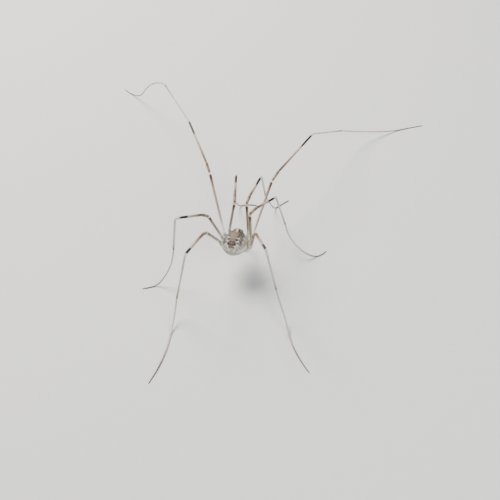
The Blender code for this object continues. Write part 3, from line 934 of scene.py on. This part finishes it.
# %% [markdown]
# A leg's thickness follows its anatomy: each length is a slim cylinder that swells at its far end and
# is pinched at the joint, where soft pale skin shows. The tarsus is a chain of some dozens of tiny
# beads. A list of shares and radii for each length describes this, and the tube is drawn through them.

# %% Thickness of a leg
LEG_PROFILES = [
    [(0, 0.2), (0.12, 0.21), (0.2, 0.27), (0.42, 0.3), (0.62, 0.27), (0.76, 0.19), (0.82, 0.165),
     (0.9, 0.2), (1, 0.215)],
    [(0, 0.215), (0.5, 0.205), (0.85, 0.22), (0.97, 0.25), (0.99, 0.235), (1, 0.18)],
    [(0, 0.17), (0.07, 0.19), (0.2, 0.225), (0.7, 0.24), (0.93, 0.25), (0.97, 0.22), (1, 0.17)],
    [(0, 0.165), (0.015, 0.19), (0.06, 0.205), (0.5, 0.19), (0.9, 0.195), (0.975, 0.215), (0.99, 0.19),
     (1, 0.15)],
    [(0, 0.145), (0.02, 0.17), (0.08, 0.165), (0.5, 0.15), (0.93, 0.145), (0.985, 0.16), (1, 0.115)],
    [(0, 0.11), (0.012, 0.135), (0.4, 0.128), (0.6, 0.112), (0.78, 0.09), (0.96, 0.068),
     (1, TIP_RADIUS)],
]
SLIMNESS = {1: 1.0, 2: 0.94, 3: 1.0, 4: 0.98}
RING_GAP = 0.22
LEAST_GAP = 0.012
BEAD_COUNTS = {1: 32, 2: 64, 3: 34, 4: 46}
BEAD_SIZES = (3.0, 1.5, 0.7)
NOTCH_DEPTH = 0.16
NOTCH_HALF = 0.03
NOTCH_STEPS = (-3.2, -1, 0, 1)
NOTCH_FADE = 1.4

# %% Rings of a limb


def distances_along(points):
    steps = np.linalg.norm(np.diff(points, axis=0), axis=1)
    return np.concatenate([[0], np.cumsum(steps)])


def read_off(at, marks, rows):
    """Rows of three numbers, mixed for each place from the rows at the marks round it."""
    return np.stack([np.interp(at, marks, rows[:, column]) for column in range(3)], axis=1)


def bead_edges(count):
    """Where the tarsus is pinched: the first bead is long, and the later ones grow shorter."""
    first, largest, smallest = BEAD_SIZES
    sizes = np.linspace(largest, smallest, count)
    sizes[0] = first
    edges = np.cumsum(sizes)
    return edges[:-1] / edges[-1]


def limb_rings(lines, profiles, ring_count, least_gap=0.0, slimness=1.0, pinches=()):
    """For every ring of a limb: its place, radius, length number and share of that length."""
    columns = []
    for number, (points, profile) in enumerate(zip(lines, profiles)):
        points, knots = np.array([tuple(point) for point in points]), np.array(profile)
        along = distances_along(points)
        notch = NOTCH_HALF / along[-1]
        marks = {*knots[:, 0], *(along / along[-1])}
        beaded = len(pinches) > 0 and number == len(profiles) - 1
        if beaded:
            marks.update(*([pinch + step * notch for step in NOTCH_STEPS] for pinch in pinches))
        else:
            marks.update(np.linspace(0, 1, ring_count(along[-1])))
        marks = np.array(sorted(mark for mark in marks if 0 <= mark <= 1))
        marks = marks[np.diff(marks, prepend=-1) * along[-1] > least_gap]
        radii = np.interp(marks, knots[:, 0], knots[:, 1]) * slimness
        if beaded:
            near = np.abs(marks[:, None] - pinches).min(axis=1) / notch
            radii *= 1 - NOTCH_DEPTH * np.clip(1 - near / NOTCH_FADE, 0, 1)
        own = slice(0 if number == 0 else 1, None)
        places = read_off(marks * along[-1], along, points)
        columns.append((places[own], radii[own], np.full(len(marks), number)[own], marks[own]))
    return [np.concatenate(column) for column in zip(*columns)]


def leg_rings(side, pair):
    """A leg's rings, none of them lower than it can lie on the floor."""
    rows = limb_rings(leg_line(side, pair), LEG_PROFILES, lambda reach: max(2, int(reach / RING_GAP)),
                      LEAST_GAP, SLIMNESS[pair], bead_edges(BEAD_COUNTS[pair]))
    rows[0][:, 2] = np.maximum(rows[0][:, 2], rows[1] * 0.99)
    return rows


leg_rows = {(side, pair): leg_rings(side, pair) for side, pair in LEG_POSE}
print("rings of each leg:", [len(rows[0]) for rows in leg_rows.values()])

# %% [markdown]
# The legs are fawn and grey, paler at the joints. The far end of the femur and the patella are dark
# brown, and a near-black band ends just before the bend below the tibia. The metatarsus is silvery,
# and the tarsus goes from silver through rose and mauve to black. Each length has its list of colours.

# %% Colours of a leg
LEG_BANDS = [
    [(0.74, "ivory"), (0.8, "pale"), (0.9, "ivory")],
    [(0.06, "ivory"), (0.18, "pale"), (0.4, "fawn"), (0.74, "fawn"), (0.88, "brown"),
     (0.95, "red brown"), (0.978, "red brown"), (0.988, "cream")],
    [(0.08, "cream"), (0.14, "brown"), (0.5, "fawn"), (0.85, "brown"), (0.96, "brown"), (0.98, "fawn")],
    [(0, "fawn"), (0.02, "brown"), (0.14, "brown"), (0.34, "fawn"), (0.55, "pale"), (0.64, "grey"),
     (0.68, "red brown"), (0.74, "black"), (0.95, "black"), (0.975, "cream")],
    [(0, "cream"), (0.06, "silver"), (0.6, "silver"), (0.84, "pale"), (0.92, "fawn"), (0.975, "brown"),
     (0.985, "cream")],
    [(0, "cream"), (0.02, "silver"), (0.35, "silver"), (0.6, "rose"), (0.76, "mauve"),
     (0.92, "red brown"), (1, "black")],
]
BAND_IN_LIST = (0, 0.68, 0.95, 1)
BAND_ON_LEG = {1: (0, 0.56, 0.88, 1), 2: BAND_IN_LIST, 3: (0, 0.6, 0.86, 1), 4: (0, 0.79, 0.985, 1)}
# Painted light: the share by which the tops of the legs are painted lighter and their undersides darker.
PAINTED_TOP_LIGHT = 0.1


def band_colours(bands, rows):
    """The colour of every ring, mixed between the marks of its length's list."""
    _, _, numbers, shares = rows
    colours = np.zeros((len(numbers), 3))
    for number, band in enumerate(bands):
        here = numbers == number
        tints = np.array([PALETTE[tint] for _, tint in band])
        colours[here] = read_off(shares[here], [share for share, _ in band], tints)
    return colours


def add_limb(name, rows, bands, painted_top_light=0.0):
    """A tube through a limb's rings, in its bands with painted light above and shade below, never under
    the floor.
    """
    places, radii, _, _ = rows
    limb = add_tube(name, places, radii)
    points = points_of(limb)
    ring_of = np.minimum(np.arange(len(points)) // TUBE_SIDES, len(places) - 1)
    height = (points[:, 2] - places[ring_of, 2]) / radii[ring_of]
    # Painted light and shade: each point is lighter on the top of the tube and darker underneath.
    paint(limb, band_colours(bands, rows)[ring_of] * (1 + painted_top_light * height)[:, None])
    points[:, 2] = np.maximum(points[:, 2], 0)
    move_points(limb, points)
    return limb


for (side, pair), rows in leg_rows.items():
    on_tibia = rows[2] == TIBIA
    rows[3][on_tibia] = np.interp(rows[3][on_tibia], BAND_ON_LEG[pair], BAND_IN_LIST)
    leg = add_limb("%s_leg_%d_skin" % (side, pair), rows, LEG_BANDS, PAINTED_TOP_LIGHT)
    nodes = ["%s_leg_%d_%s" % (side, pair, part) for part in LENGTH_NAMES[FEMUR:]]
    finish_piece(leg, leg_finish, "leg", *nodes)
    print(leg.name, "points", len(leg.data.vertices))

# %% [markdown]
# The jaws hang in front of the mouth. Each has a first length that reaches forward under the head's
# edge and a bulbous hand that hangs from it, with two dark fingers, one of them fixed and one hinged.
# The lengths are tubes with changing thickness; the fingers are hooks with a comb of tiny teeth.

# %% Lines of the jaws
JAW_X = 0.34
JAW_TUBES = {
    "base": (20, 5, [(0, 2.0, 5.2, 0.13), (0, 2.25, 5.24, 0.17), (0, 2.6, 5.34, 0.2),
                     (0, 2.95, 5.4, 0.205), (0, 3.2, 5.37, 0.18), (0, 3.33, 5.28, 0.12),
                     (0, 3.36, 5.24, 0.09)]),
    "hand": (20, 5, [(0, 3.36, 5.32, 0.07), (0, 3.37, 5.24, 0.13), (0, 3.4, 5.08, 0.185),
                     (0, 3.42, 4.88, 0.215), (0, 3.42, 4.66, 0.22), (0, 3.4, 4.44, 0.195),
                     (0, 3.37, 4.24, 0.16), (0, 3.34, 4.12, 0.12), (0, 3.33, 4.06, 0.06)]),
    "fixed finger": (10, 4, [(-0.07, 3.35, 4.2, 0.085), (-0.1, 3.34, 4.02, 0.07),
                             (-0.1, 3.32, 3.84, 0.052), (-0.06, 3.3, 3.7, 0.035),
                             (-0.01, 3.28, 3.6, 0.012)]),
    "hinged finger": (10, 4, [(0.08, 3.38, 4.24, 0.07), (0.13, 3.37, 4.06, 0.068),
                              (0.14, 3.35, 3.86, 0.054), (0.09, 3.32, 3.7, 0.036),
                              (0.02, 3.3, 3.58, 0.012)]),
}
TEETH_LOOK = {"fixed finger": 1, "hinged finger": -1}
TOOTH_COUNT = 5
TEETH_FROM = 5
TOOTH_WIDTH = 0.42
TOOTH_LEAN = -0.25
TOOTH_LENGTH = 0.035

# %% Shapes and colours of a jaw


def smooth_line(rows, steps):
    """More points along a bent line, eased between the given ones."""
    rows = np.array(rows, float)
    fine = np.linspace(0, len(rows) - 1, (len(rows) - 1) * steps + 1)
    slopes = np.gradient(rows, axis=0)
    low = np.minimum(fine.astype(int), len(rows) - 2)
    part = (fine - low)[:, None]
    out = rows[low] * (2 * part**3 - 3 * part**2 + 1) + rows[low + 1] * (3 * part**2 - 2 * part**3)
    return out + slopes[low] * (part**3 - 2 * part**2 + part) + slopes[low + 1] * (part**3 - part**2)


def add_tooth(place, aim, radius):
    """A small pointed tooth, standing on a place and pointing along an arrow."""
    tooth = add_primitive(
        "tooth", bpy.ops.mesh.primitive_cone_add, vertices=5, radius1=radius, radius2=radius * 0.15,
        depth=TOOTH_LENGTH, location=place + aim.normalized() * TOOTH_LENGTH * 0.5,
        rotation=aim.to_track_quat("Z", "Y").to_euler())
    bpy.ops.object.transform_apply()
    return tooth


def jaw_colours(places):
    """Pale horn with brown dapples, fawn on top, and dark towards the fingers' tips."""
    x, y, z = places.T
    colours = np.tile(PALETTE["cream"] * 0.9, (len(x), 1))
    lay("fawn", colours, 0.6 * ease((z - 5.3) / 0.15))
    dapples = ease(waves(x * 4.2, y * 4.2, z * 3.2, 2.0) * 3.0) * ease((z - 4.25) / 0.3)
    lay("brown", colours, 0.85 * dapples)
    lay("brown", colours, ease((4.12 - z) / 0.25))
    return lay("black", colours, ease((4.0 - z) / 0.2))

# %% Jaws
jaw_finish = painted_finish("jaw shell", 0.32, 4.0, 26.0, 0.008, 0.5, subsurface=0.06, freckles=9.0)
jaw_rows = {}
for side in SIDES:
    outward = -1 if side == "left" else 1
    parts = []
    for kind, (sides, steps, rows) in JAW_TUBES.items():
        line = smooth_line([(outward * (JAW_X + x), y, z, radius) for x, y, z, radius in rows], steps)
        parts.append(add_tube("jaw " + kind, line[:, :3], line[:, 3], sides))
        if kind in TEETH_LOOK:
            inward = outward * TEETH_LOOK[kind]
            for x, y, z, radius in line[TEETH_FROM:TEETH_FROM + 2 * TOOTH_COUNT:2]:
                root = Vector((x + inward * radius * 0.8, y, z))
                parts.append(add_tooth(root, Vector((inward, 0, TOOTH_LEAN)), radius * TOOTH_WIDTH))
    jaw = join(side + "_jaw_shell", parts)
    jaw_rows[side] = (points_of(jaw), points_of(jaw, "normal"))
    paint(jaw, jaw_colours(points_of(jaw)))
    finish_piece(jaw, jaw_finish, "jaw", side + "_jaw")
print("jaw teeth on each finger:", TOOTH_COUNT)

# %% [markdown]
# The palps are the two short feelers beside the jaws, held forward and down. They are made like the
# legs, as one tube whose thickness swells and narrows at each joint, and end in a small hooked claw.

# %% Palps
PALP_ROOT = (1.06, 2.72, 4.95)
PALP_LENGTHS = [1.45, 0.75, 1.0, 1.75]
PALP_TURNS = [(8, -38), (-5, -58), (-20, -78), (-150, -70)]
PALP_PROFILES = [
    [(0, 0.13), (0.12, 0.165), (0.3, 0.15), (0.7, 0.165), (0.92, 0.185), (1, 0.13)],
    [(0, 0.12), (0.15, 0.16), (0.6, 0.185), (0.88, 0.19), (1, 0.13)],
    [(0, 0.12), (0.12, 0.15), (0.6, 0.165), (0.9, 0.17), (1, 0.12)],
    [(0, 0.11), (0.08, 0.14), (0.45, 0.135), (0.85, 0.105), (0.97, 0.08), (1, 0.04)],
]
PALP_BANDS = [
    [(0, "cream"), (0.2, "pale"), (0.6, "pale"), (0.85, "brown"), (0.96, "brown"), (1, "cream")],
    [(0, "cream"), (0.15, "brown"), (0.8, "fawn"), (1, "cream")],
    [(0, "cream"), (0.15, "fawn"), (0.8, "brown"), (1, "cream")],
    [(0, "cream"), (0.1, "pale"), (0.7, "fawn"), (1, "brown")],
]
PALP_RINGS = 18
PALP_ROUNDINGS = 3


def palp_rings(side):
    corners = [mirrored(PALP_ROOT, side)]
    for length, turn in zip(PALP_LENGTHS, PALP_TURNS):
        corners.append(corners[-1] + direction(side, *turn) * length)
    rows = limb_rings(zip(corners, corners[1:]), PALP_PROFILES, lambda reach: PALP_RINGS)
    places = rows[0]
    for _ in range(PALP_ROUNDINGS):
        places[1:-1] = places[1:-1] * 0.5 + (places[:-2] + places[2:]) * 0.25
    return rows


palp_rows = {side: palp_rings(side) for side in SIDES}
for side, rows in palp_rows.items():
    finish_piece(add_limb(side + "_palp_skin", rows, PALP_BANDS), leg_finish, "jaw", side + "_palp")
print("palp rings:", len(rows[0]))

# %% [markdown]
# Hairs, spines and grains repeat by the thousand. Each kind is modelled once, one unit long and
# standing on the origin, and copied in code: every copy gets a root, an arrow to grow along, a size
# and the colour of the skin at its root. Copies of one kind are joined, with a small patch each on
# their UV map.

# %% A hair, a spine and a grain
PATCH = 0.003
HAIR_JOINTS = ((0.03, 0.4, 0.8), (0.09, 0.35, 0.7), (0.12, 0.25, 0.08))
SPINE_JOINTS = ((0.03, 0.35, 0.55), (0.1, 0.45, 0.5), (0.1, 0.3, 0.1))
GRAIN_FOOT = -0.3


def make_thorn(name, corners, radius, foot, joints):
    """A ring of corners extruded to a bent point: each joint leans, rises and narrows it."""
    thorn = add_primitive(name, bpy.ops.mesh.primitive_circle_add, vertices=corners, radius=radius,
                          fill_type="NOTHING", location=(0, 0, foot))
    edit(thorn, "SELECT")
    for lean, rise, share in joints:
        bpy.ops.mesh.extrude_region_move(TRANSFORM_OT_translate={"value": (0, lean, rise)})
        bpy.ops.transform.resize(value=(share, share, 1))
    done()
    bpy.ops.object.transform_apply()
    return thorn


def make_grain():
    """A low dome, one unit high."""
    grain = add_primitive("grain", bpy.ops.mesh.primitive_ico_sphere_add, subdivisions=2, radius=1)
    edit(grain)
    pick(grain, lambda point: point.co.z < GRAIN_FOOT)
    bpy.ops.mesh.delete(type="VERT")
    done()
    return grain

# %% Copies of a small shape


def unit(arrows):
    return arrows / np.maximum(np.linalg.norm(arrows, axis=1), 1e-9)[:, None]


def copy_shape(name, model, roots, arrows, leans, sizes, colours, patches):
    """Join many copies of a model, each grown along its arrow and bent towards its lean."""
    shape = points_of(model)
    up = unit(arrows)
    side = unit(np.cross(leans, up))
    grown = shape @ np.stack([side, np.cross(up, side), up], axis=1)
    grown = grown * sizes[:, None, None] + roots[:, None]
    faces = [tuple(face.vertices) for face in model.data.polygons]
    starts = range(0, len(roots) * len(shape), len(shape))
    mesh = bpy.data.meshes.new(name)
    mesh.from_pydata(grown.reshape(-1, 3).tolist(), [],
                     [tuple(corner + start for corner in face) for start in starts for face in faces])
    copies = new_object(name, mesh)
    corners = np.array([loop.vertex_index for loop in mesh.loops])
    owner, place = corners // len(shape), shape[corners % len(shape)]
    uv = patches[owner] + np.stack([place[:, 0] + place[:, 1], place[:, 2]], axis=1) * PATCH / 2
    layer = mesh.uv_layers.new(name="OFBake")
    layer.data.foreach_set("uv", uv.astype(np.float32).ravel())
    paint(copies, colours if len(colours) > len(roots) else np.repeat(colours, len(shape), axis=0))
    return copies


def add_coat(name, model, slot, parts):
    """One finished piece of the copies that several lists of rows ask for."""
    columns = [np.concatenate(column) for column in zip(*parts)]
    finish_piece(copy_shape(name, model, *columns), bristle_finish, slot)
    print(name, len(columns[0]))


hair = make_thorn("hair", 3, 0.05, 0, HAIR_JOINTS)
spine = make_thorn("spine", 6, 0.42, -0.1, SPINE_JOINTS)
grain = make_grain()
bristle_finish = painted_finish("bristle", 0.4, 4.0, 20.0, 0.002)
models = (hair, spine, grain)
print("faces of a hair, a spine and a grain:", [len(model.data.polygons) for model in models])

# %% [markdown]
# On the legs, short stout spines stand in five rows from the hip to the end of the tibia, with a crown
# of them at each joint. Between them and down to the foot lie fine bristles, denser towards the tip.
# Their roots are found by walking along the rings, with a seeded chance for spacing and tilt.

# %% Rows round a limb
CHANCE_SEED = 7
TURN = 2 * math.pi
WALK_START = 0.3
WALK_END = 0.05
SINK = 0.96
STRIP_LENGTH = 0.99
STRIP_WIDTH = 0.96
SPINE_ROWS = 5
SPINE_GAP = 0.34
SPINE_SIZE = 0.085
SPINE_LIFT = 0.95
SPINES_FROM = 0.75
SPINES_END = 0.15
CROWN_SPINES = 7
CROWN_BACK = 0.11
HAIR_KINDS = {
    "leg": (LEG_BANDS, [0.09, 0.055, 0.05, 0.05, 0.045, 0.024], [0.11, 0.14, 0.14, 0.16, 0.17, 0.13],
            (0.75, 1.2), (0.35, 0.75), "black", 0.6),
    "palp": (PALP_BANDS, [0.02, 0.016, 0.013, 0.009], [0.17] * 4,
             (0.6, 1.2), (0.45, 1.0), "red brown", 1),
}
FOOT_HAIR_LIFT = 0.15
FLOOR_CLEAR = 0.012

chance = np.random.default_rng(CHANCE_SEED)


def walk_roots(rows, gaps):
    """Distances along a limb, spaced by each length's own gap, and the length each lies on."""
    along, numbers = distances_along(rows[0]), rows[2]
    walk, at = [], WALK_START
    while at < along[-1] - WALK_END:
        number = numbers[min(np.searchsorted(along, at), len(numbers) - 1)]
        walk.append((at, number))
        at += gaps[number] * chance.uniform(0.7, 1.3)
    return np.array([at for at, _ in walk]), np.array([number for _, number in walk])


def strip_patches(ways, angles, strip, strips):
    """Places on an unwrap of limbs laid in strips: the way along, and the turn round, one strip each."""
    return np.stack([ways, (strip + angles / TURN % 1 * STRIP_WIDTH) / strips], axis=1)


def limb_coat(rows, bands, distances, angles, lift, sizes, tint, share, strip, strips):
    """Root, arrow, lean, size, colour and patch for copies that stand round a limb."""
    places, radii, _, _ = rows
    along = distances_along(places)
    ahead = unit(np.gradient(places, axis=0))
    side = unit(np.cross(ahead, np.array([0.03, 0.05, 1.0])))
    ring_rows = (places, ahead, side, np.cross(side, ahead))
    centre, tip, side, across = (read_off(distances, along, row) for row in ring_rows)
    outward = side * np.cos(angles)[:, None] + across * np.sin(angles)[:, None]
    radius = np.interp(distances, along, radii) * SINK
    arrows = unit(outward * np.sin(lift)[:, None] + tip * np.cos(lift)[:, None])
    colours = lay(tint, read_off(distances, along, band_colours(bands, rows)), share)
    patches = strip_patches(distances / along[-1] * STRIP_LENGTH, angles, strip, strips)
    return [centre + outward * radius[:, None], arrows, tip, sizes, colours, patches]

# %% Spines and bristles of the legs


def limb_hairs(rows, kind, strip, strips):
    """Fine bristles strewn over a limb, without those that would reach into the floor."""
    bands, gaps, lengths, spread, lifts, tint, share = HAIR_KINDS[kind]
    distances, owner = walk_roots(rows, gaps)
    angles = chance.uniform(0, TURN, len(distances))
    lift = chance.uniform(*lifts, len(distances)) + (owner == TARSUS) * FOOT_HAIR_LIFT
    sizes = np.array(lengths)[owner] * chance.uniform(*spread, len(owner))
    coat = limb_coat(rows, bands, distances, angles, lift, sizes, tint, share, strip, strips)
    clear = coat[0][:, 2] + np.minimum(coat[1][:, 2], 0) * sizes > FLOOR_CLEAR
    return [column[clear] for column in coat]


def leg_spines(rows, strip):
    along = distances_along(rows[0])
    ends = [along[np.searchsorted(rows[2], number)] for number in (PATELLA, TIBIA, METATARSUS)]
    steps = np.arange(SPINES_FROM, ends[-1] - SPINES_END, SPINE_GAP)
    distances = np.concatenate([steps + row * SPINE_GAP / SPINE_ROWS for row in range(SPINE_ROWS)])
    distances = distances + chance.uniform(-0.05, 0.05, len(distances))
    distances = np.concatenate([distances, np.repeat(np.array(ends) - CROWN_BACK, CROWN_SPINES)])
    angles = np.repeat(np.arange(SPINE_ROWS) * TURN / SPINE_ROWS + math.pi / 2, len(steps))
    crown_angles = np.arange(CROWN_SPINES) * TURN / CROWN_SPINES + 0.3
    angles = np.concatenate([angles, np.tile(crown_angles, len(ends))])
    lift = np.full(len(distances), SPINE_LIFT)
    sizes = SPINE_SIZE * chance.uniform(0.75, 1.15, len(distances))
    return limb_coat(rows, LEG_BANDS, distances, angles, lift, sizes, "red brown", 0.45, strip,
                     len(leg_rows))


hairs, spines = [], []
for strip, rows in enumerate(leg_rows.values()):
    hairs.append(limb_hairs(rows, "leg", strip, len(leg_rows)))
    spines.append(leg_spines(rows, strip))
add_coat("leg_bristles", hair, "leg", hairs)
add_coat("leg_spines", spine, "leg", spines)

# %% [markdown]
# The palps are the hairiest part, most of all on their last length, and the jaws' hands bear a few
# dozen bristles on their front. All of these point down towards the tips. A palp is walked like a leg;
# on a jaw some of its own points are drawn by chance, and their normals tell which way is out.

# %% Bristles of the palps and jaws
JAW_HAIRS = 70
JAW_HAIRS_ABOVE = 4.3
DOWNWARD = [0.0, 0.2, -1.0]
STRIPS = 2 * len(SIDES)


def jaw_hairs(side, strip):
    points, normals = jaw_rows[side]
    hairy = (points[:, 2] > JAW_HAIRS_ABOVE) & (points[:, 1] > 2.7) & (normals[:, 1] > -0.2)
    chosen = chance.choice(np.flatnonzero(hairy), JAW_HAIRS, replace=False)
    roots, arrows = points[chosen], normals[chosen]
    down = np.tile(DOWNWARD, (JAW_HAIRS, 1))
    angles = np.arctan2(arrows[:, 0], arrows[:, 1]) + math.pi
    colours = np.tile(PALETTE["red brown"], (JAW_HAIRS, 1))
    patches = strip_patches((roots[:, 2] - 4) / 2, angles, strip, STRIPS)
    sizes = chance.uniform(0.08, 0.14, JAW_HAIRS)
    return [roots, unit(arrows + down * 0.7), down, sizes, colours, patches]


parts = [limb_hairs(palp_rows[side], "palp", strip, STRIPS) for strip, side in enumerate(SIDES)]
parts += [jaw_hairs(side, len(SIDES) + strip) for strip, side in enumerate(SIDES)]
add_coat("palp_bristles", hair, "jaw", parts)

# %% [markdown]
# The back carries cross rows of tiny pale grains, one row behind each furrow, each with a short
# bristle, and finer bristles are strewn over it. Hips and face are as grainy and bristly, without any
# rows. The body's points nearest to each wished place give the root and the way it stands.

# %% Grains and bristles of the body
GRAIN_ROWS = [(1.9, 7), (0.75, 10), (0.3, 13), (-0.05, 13), (-0.6, 15), (-1.12, 15), (-1.62, 14),
              (-2.05, 12), (-2.42, 9)]
GRAIN_SIZE = 0.028
STREWN = 260
LOW_GRAINS = 420
LOW_BRISTLES = 260
UNWRAP_SIZE = 6.4

back_rows = np.flatnonzero(body_points[:, 2] > AXIS_HEIGHT + 0.1)
back_points = body_points[back_rows]


def nearest_on_back(x, y):
    """The body's point nearest above a place."""
    gap = (back_points[:, 0] - x) ** 2 + (back_points[:, 1] - y) ** 2 - back_points[:, 2] * 0.001
    return back_rows[int(np.argmin(gap))]


def skin_patches(roots):
    """Places on an unwrap of the body: its back on the left half, its underside on the right."""
    across = (roots[:, 0] / UNWRAP_SIZE + 0.5) / 2 + 0.5 * (roots[:, 2] < AXIS_HEIGHT)
    return np.stack([across, roots[:, 1] / UNWRAP_SIZE + 0.5], axis=1)


def skin_coat(chosen, sizes, tint, share, lie=0.0):
    """Root, arrow, lean, size, colour and patch for copies on the body, laid rearwards by a share."""
    roots, arrows = body_points[chosen], body_arrows[chosen]
    rearward = np.array([0.0, -1.0, 0.0])
    lean = rearward - arrows * (arrows @ rearward)[:, None]
    colours = lay(tint, body_paint[chosen], share)
    return [roots, unit(arrows + lean * lie), lean, sizes, colours, skin_patches(roots)]


wished = []
for y, count in GRAIN_ROWS:
    half = HALF_WIDTH * swell(y, FRONT_WIDTH_SWELL) * 0.92
    for step in range(count):
        x = half * math.sin((step / (count - 1) - 0.5) * math.pi * 0.86)
        wished.append((x + chance.uniform(-0.02, 0.02), furrow_line(x, y) + chance.uniform(-0.03, 0.03)))
in_rows = np.array([nearest_on_back(x, y) for x, y in wished])
in_rows = in_rows[body_paint[in_rows].max(axis=1) > PALETTE["plum"].max() * 0.7]
strewn = back_rows[chance.integers(0, len(back_rows), STREWN)]
lengths = chance.uniform(0.08, 0.14, len(in_rows) + STREWN)

on_hips = (body_points[:, 2] < 5.75) & (np.abs(body_points[:, 0]) > 0.85)
on_face = (body_points[:, 1] > 1.9) & (body_points[:, 2] < 6.1)
low = np.flatnonzero((on_hips | on_face) & (body_hollows < 0.002))
low_grains = chance.choice(low, LOW_GRAINS, replace=False)
low_bristly = chance.choice(low, LOW_BRISTLES, replace=False)
shares = np.concatenate([np.ones(len(in_rows)), chance.uniform(0.4, 0.8, LOW_GRAINS)])
grainy = np.concatenate([in_rows, low_grains])
add_coat("body_grains", grain, "carapace", [skin_coat(grainy, shares * GRAIN_SIZE, "white", 0.75)])
lengths = np.concatenate([lengths, chance.uniform(0.07, 0.12, LOW_BRISTLES)])
bristly = np.concatenate([in_rows, strewn, low_bristly])
add_coat("body_bristles", hair, "abdomen", [skin_coat(bristly, lengths, "black", 0.6, lie=0.8)])

# %% [markdown]
# The eye mound bears two rows of blunt thorns, one above each eye, and a small group of thorns stands
# on the head's front edge. They are pale with dark tips, larger than the grains, and sunk in the skin.

# %% Thorns of the head
THORN_SIZE = 0.11
THORN_SINK = 0.01
MOUND_THORNS = 6
MOUND_THORN_TURN = 58
MOUND_THORN_X = 0.145
FRONT_THORNS = [(0, 2.2), (-0.14, 2.08), (0.14, 2.08), (-0.07, 1.95), (0.07, 1.95), (-0.5, 1.9),
                (0.5, 1.9)]
FRONT_THORN_LEAN = Vector((0, 0.5, 0.3))

thorns = []
for side in (-1, 1):
    for turn in np.linspace(-MOUND_THORN_TURN, MOUND_THORN_TURN, MOUND_THORNS):
        ahead, up = math.sin(math.radians(turn)), math.cos(math.radians(turn))
        place = Vector((side * MOUND_THORN_X, ahead * MOUND_HALF.y * 0.9, up * MOUND_HALF.z * 0.92))
        thorns.append((MOUND_CENTRE + place, Vector((side * 0.36, ahead, up)).normalized()))
for x, y in FRONT_THORNS:
    chosen = nearest_on_back(x, y)
    place, arrow = Vector(body_points[chosen]), Vector(body_arrows[chosen])
    thorns.append((place - arrow * THORN_SINK, (arrow + FRONT_THORN_LEAN).normalized()))
places, arrows = np.array([place for place, _ in thorns]), np.array([arrow for _, arrow in thorns])
reach = np.tile(points_of(spine)[:, 2], len(thorns))
tips = lay("black", np.tile(PALETTE["cream"], (len(reach), 1)), ease((reach - 0.45) / 0.3))
forward = np.tile([0.0, 1.0, 0.0], (len(thorns), 1))
sizes = np.full(len(thorns), THORN_SIZE)
coat = [places, arrows, forward, sizes, tips, skin_patches(places)]
add_coat("head_thorns", spine, "carapace", [coat])

# %% [markdown]
# Every foot and both palps end in one smooth hooked claw, a horny sickle that comes out of the last
# bead and bends down. It is a tapering tube along part of a circle, kept just above the floor.

# %% Claws
CLAW_STEPS = 7
CLAW_CLEAR = 0.006
CLAW_BASE = 0.75
CLAW_TAPER = 0.68
LEG_CLAW = (0.3, 75)
PALP_CLAW = (0.2, -50)
PALP_CLAW_RADIUS = 0.055
LEG_CLAW_RISE = Vector((0, 0, 0.25))

claw_finish, _ = two_tone_finish("claw horn", 0.25, 0.6, 8.0, PALETTE["red brown"], PALETTE["black"])


def add_claw(name, slot, tip, ahead, radius, length, turn):
    """A sickle that starts along an arrow and bends downwards."""
    points, radii = [tip - ahead * radius], [radius * 0.7]
    axis = ahead.cross(Vector((0, 0, 1))).normalized()
    for step in range(CLAW_STEPS + 1):
        points.append(points[-1] + ahead * (length / CLAW_STEPS if step else radius * 0.8))
        radii.append(radius * (CLAW_BASE - CLAW_TAPER * step / CLAW_STEPS))
        ahead = Matrix.Rotation(-math.radians(turn) / CLAW_STEPS, 3, axis) @ ahead
    lift = max(0.0, CLAW_CLEAR - min(point.z - thick for point, thick in zip(points, radii)))
    points = [point + Vector((0, 0, lift * step / len(points))) for step, point in enumerate(points)]
    finish_piece(add_tube(name, points, radii, sides=8), claw_finish, slot)


def end_of(places):
    """The tip of a limb, and the way it points there."""
    return Vector(places[-1]), Vector(places[-1] - places[-3]).normalized()


for (side, pair), (places, radii, _, _) in leg_rows.items():
    tip, ahead = end_of(places)
    ahead = (ahead + LEG_CLAW_RISE).normalized()
    add_claw("%s_leg_%d_claw" % (side, pair), "foot", tip, ahead, float(radii[-1]), *LEG_CLAW)
for side, (places, _, _, _) in palp_rows.items():
    add_claw(side + "_palp_claw", "jaw", *end_of(places), PALP_CLAW_RADIUS, *PALP_CLAW)
for model in models:
    bpy.data.objects.remove(model)
print("claws:", len(leg_rows) + len(palp_rows))
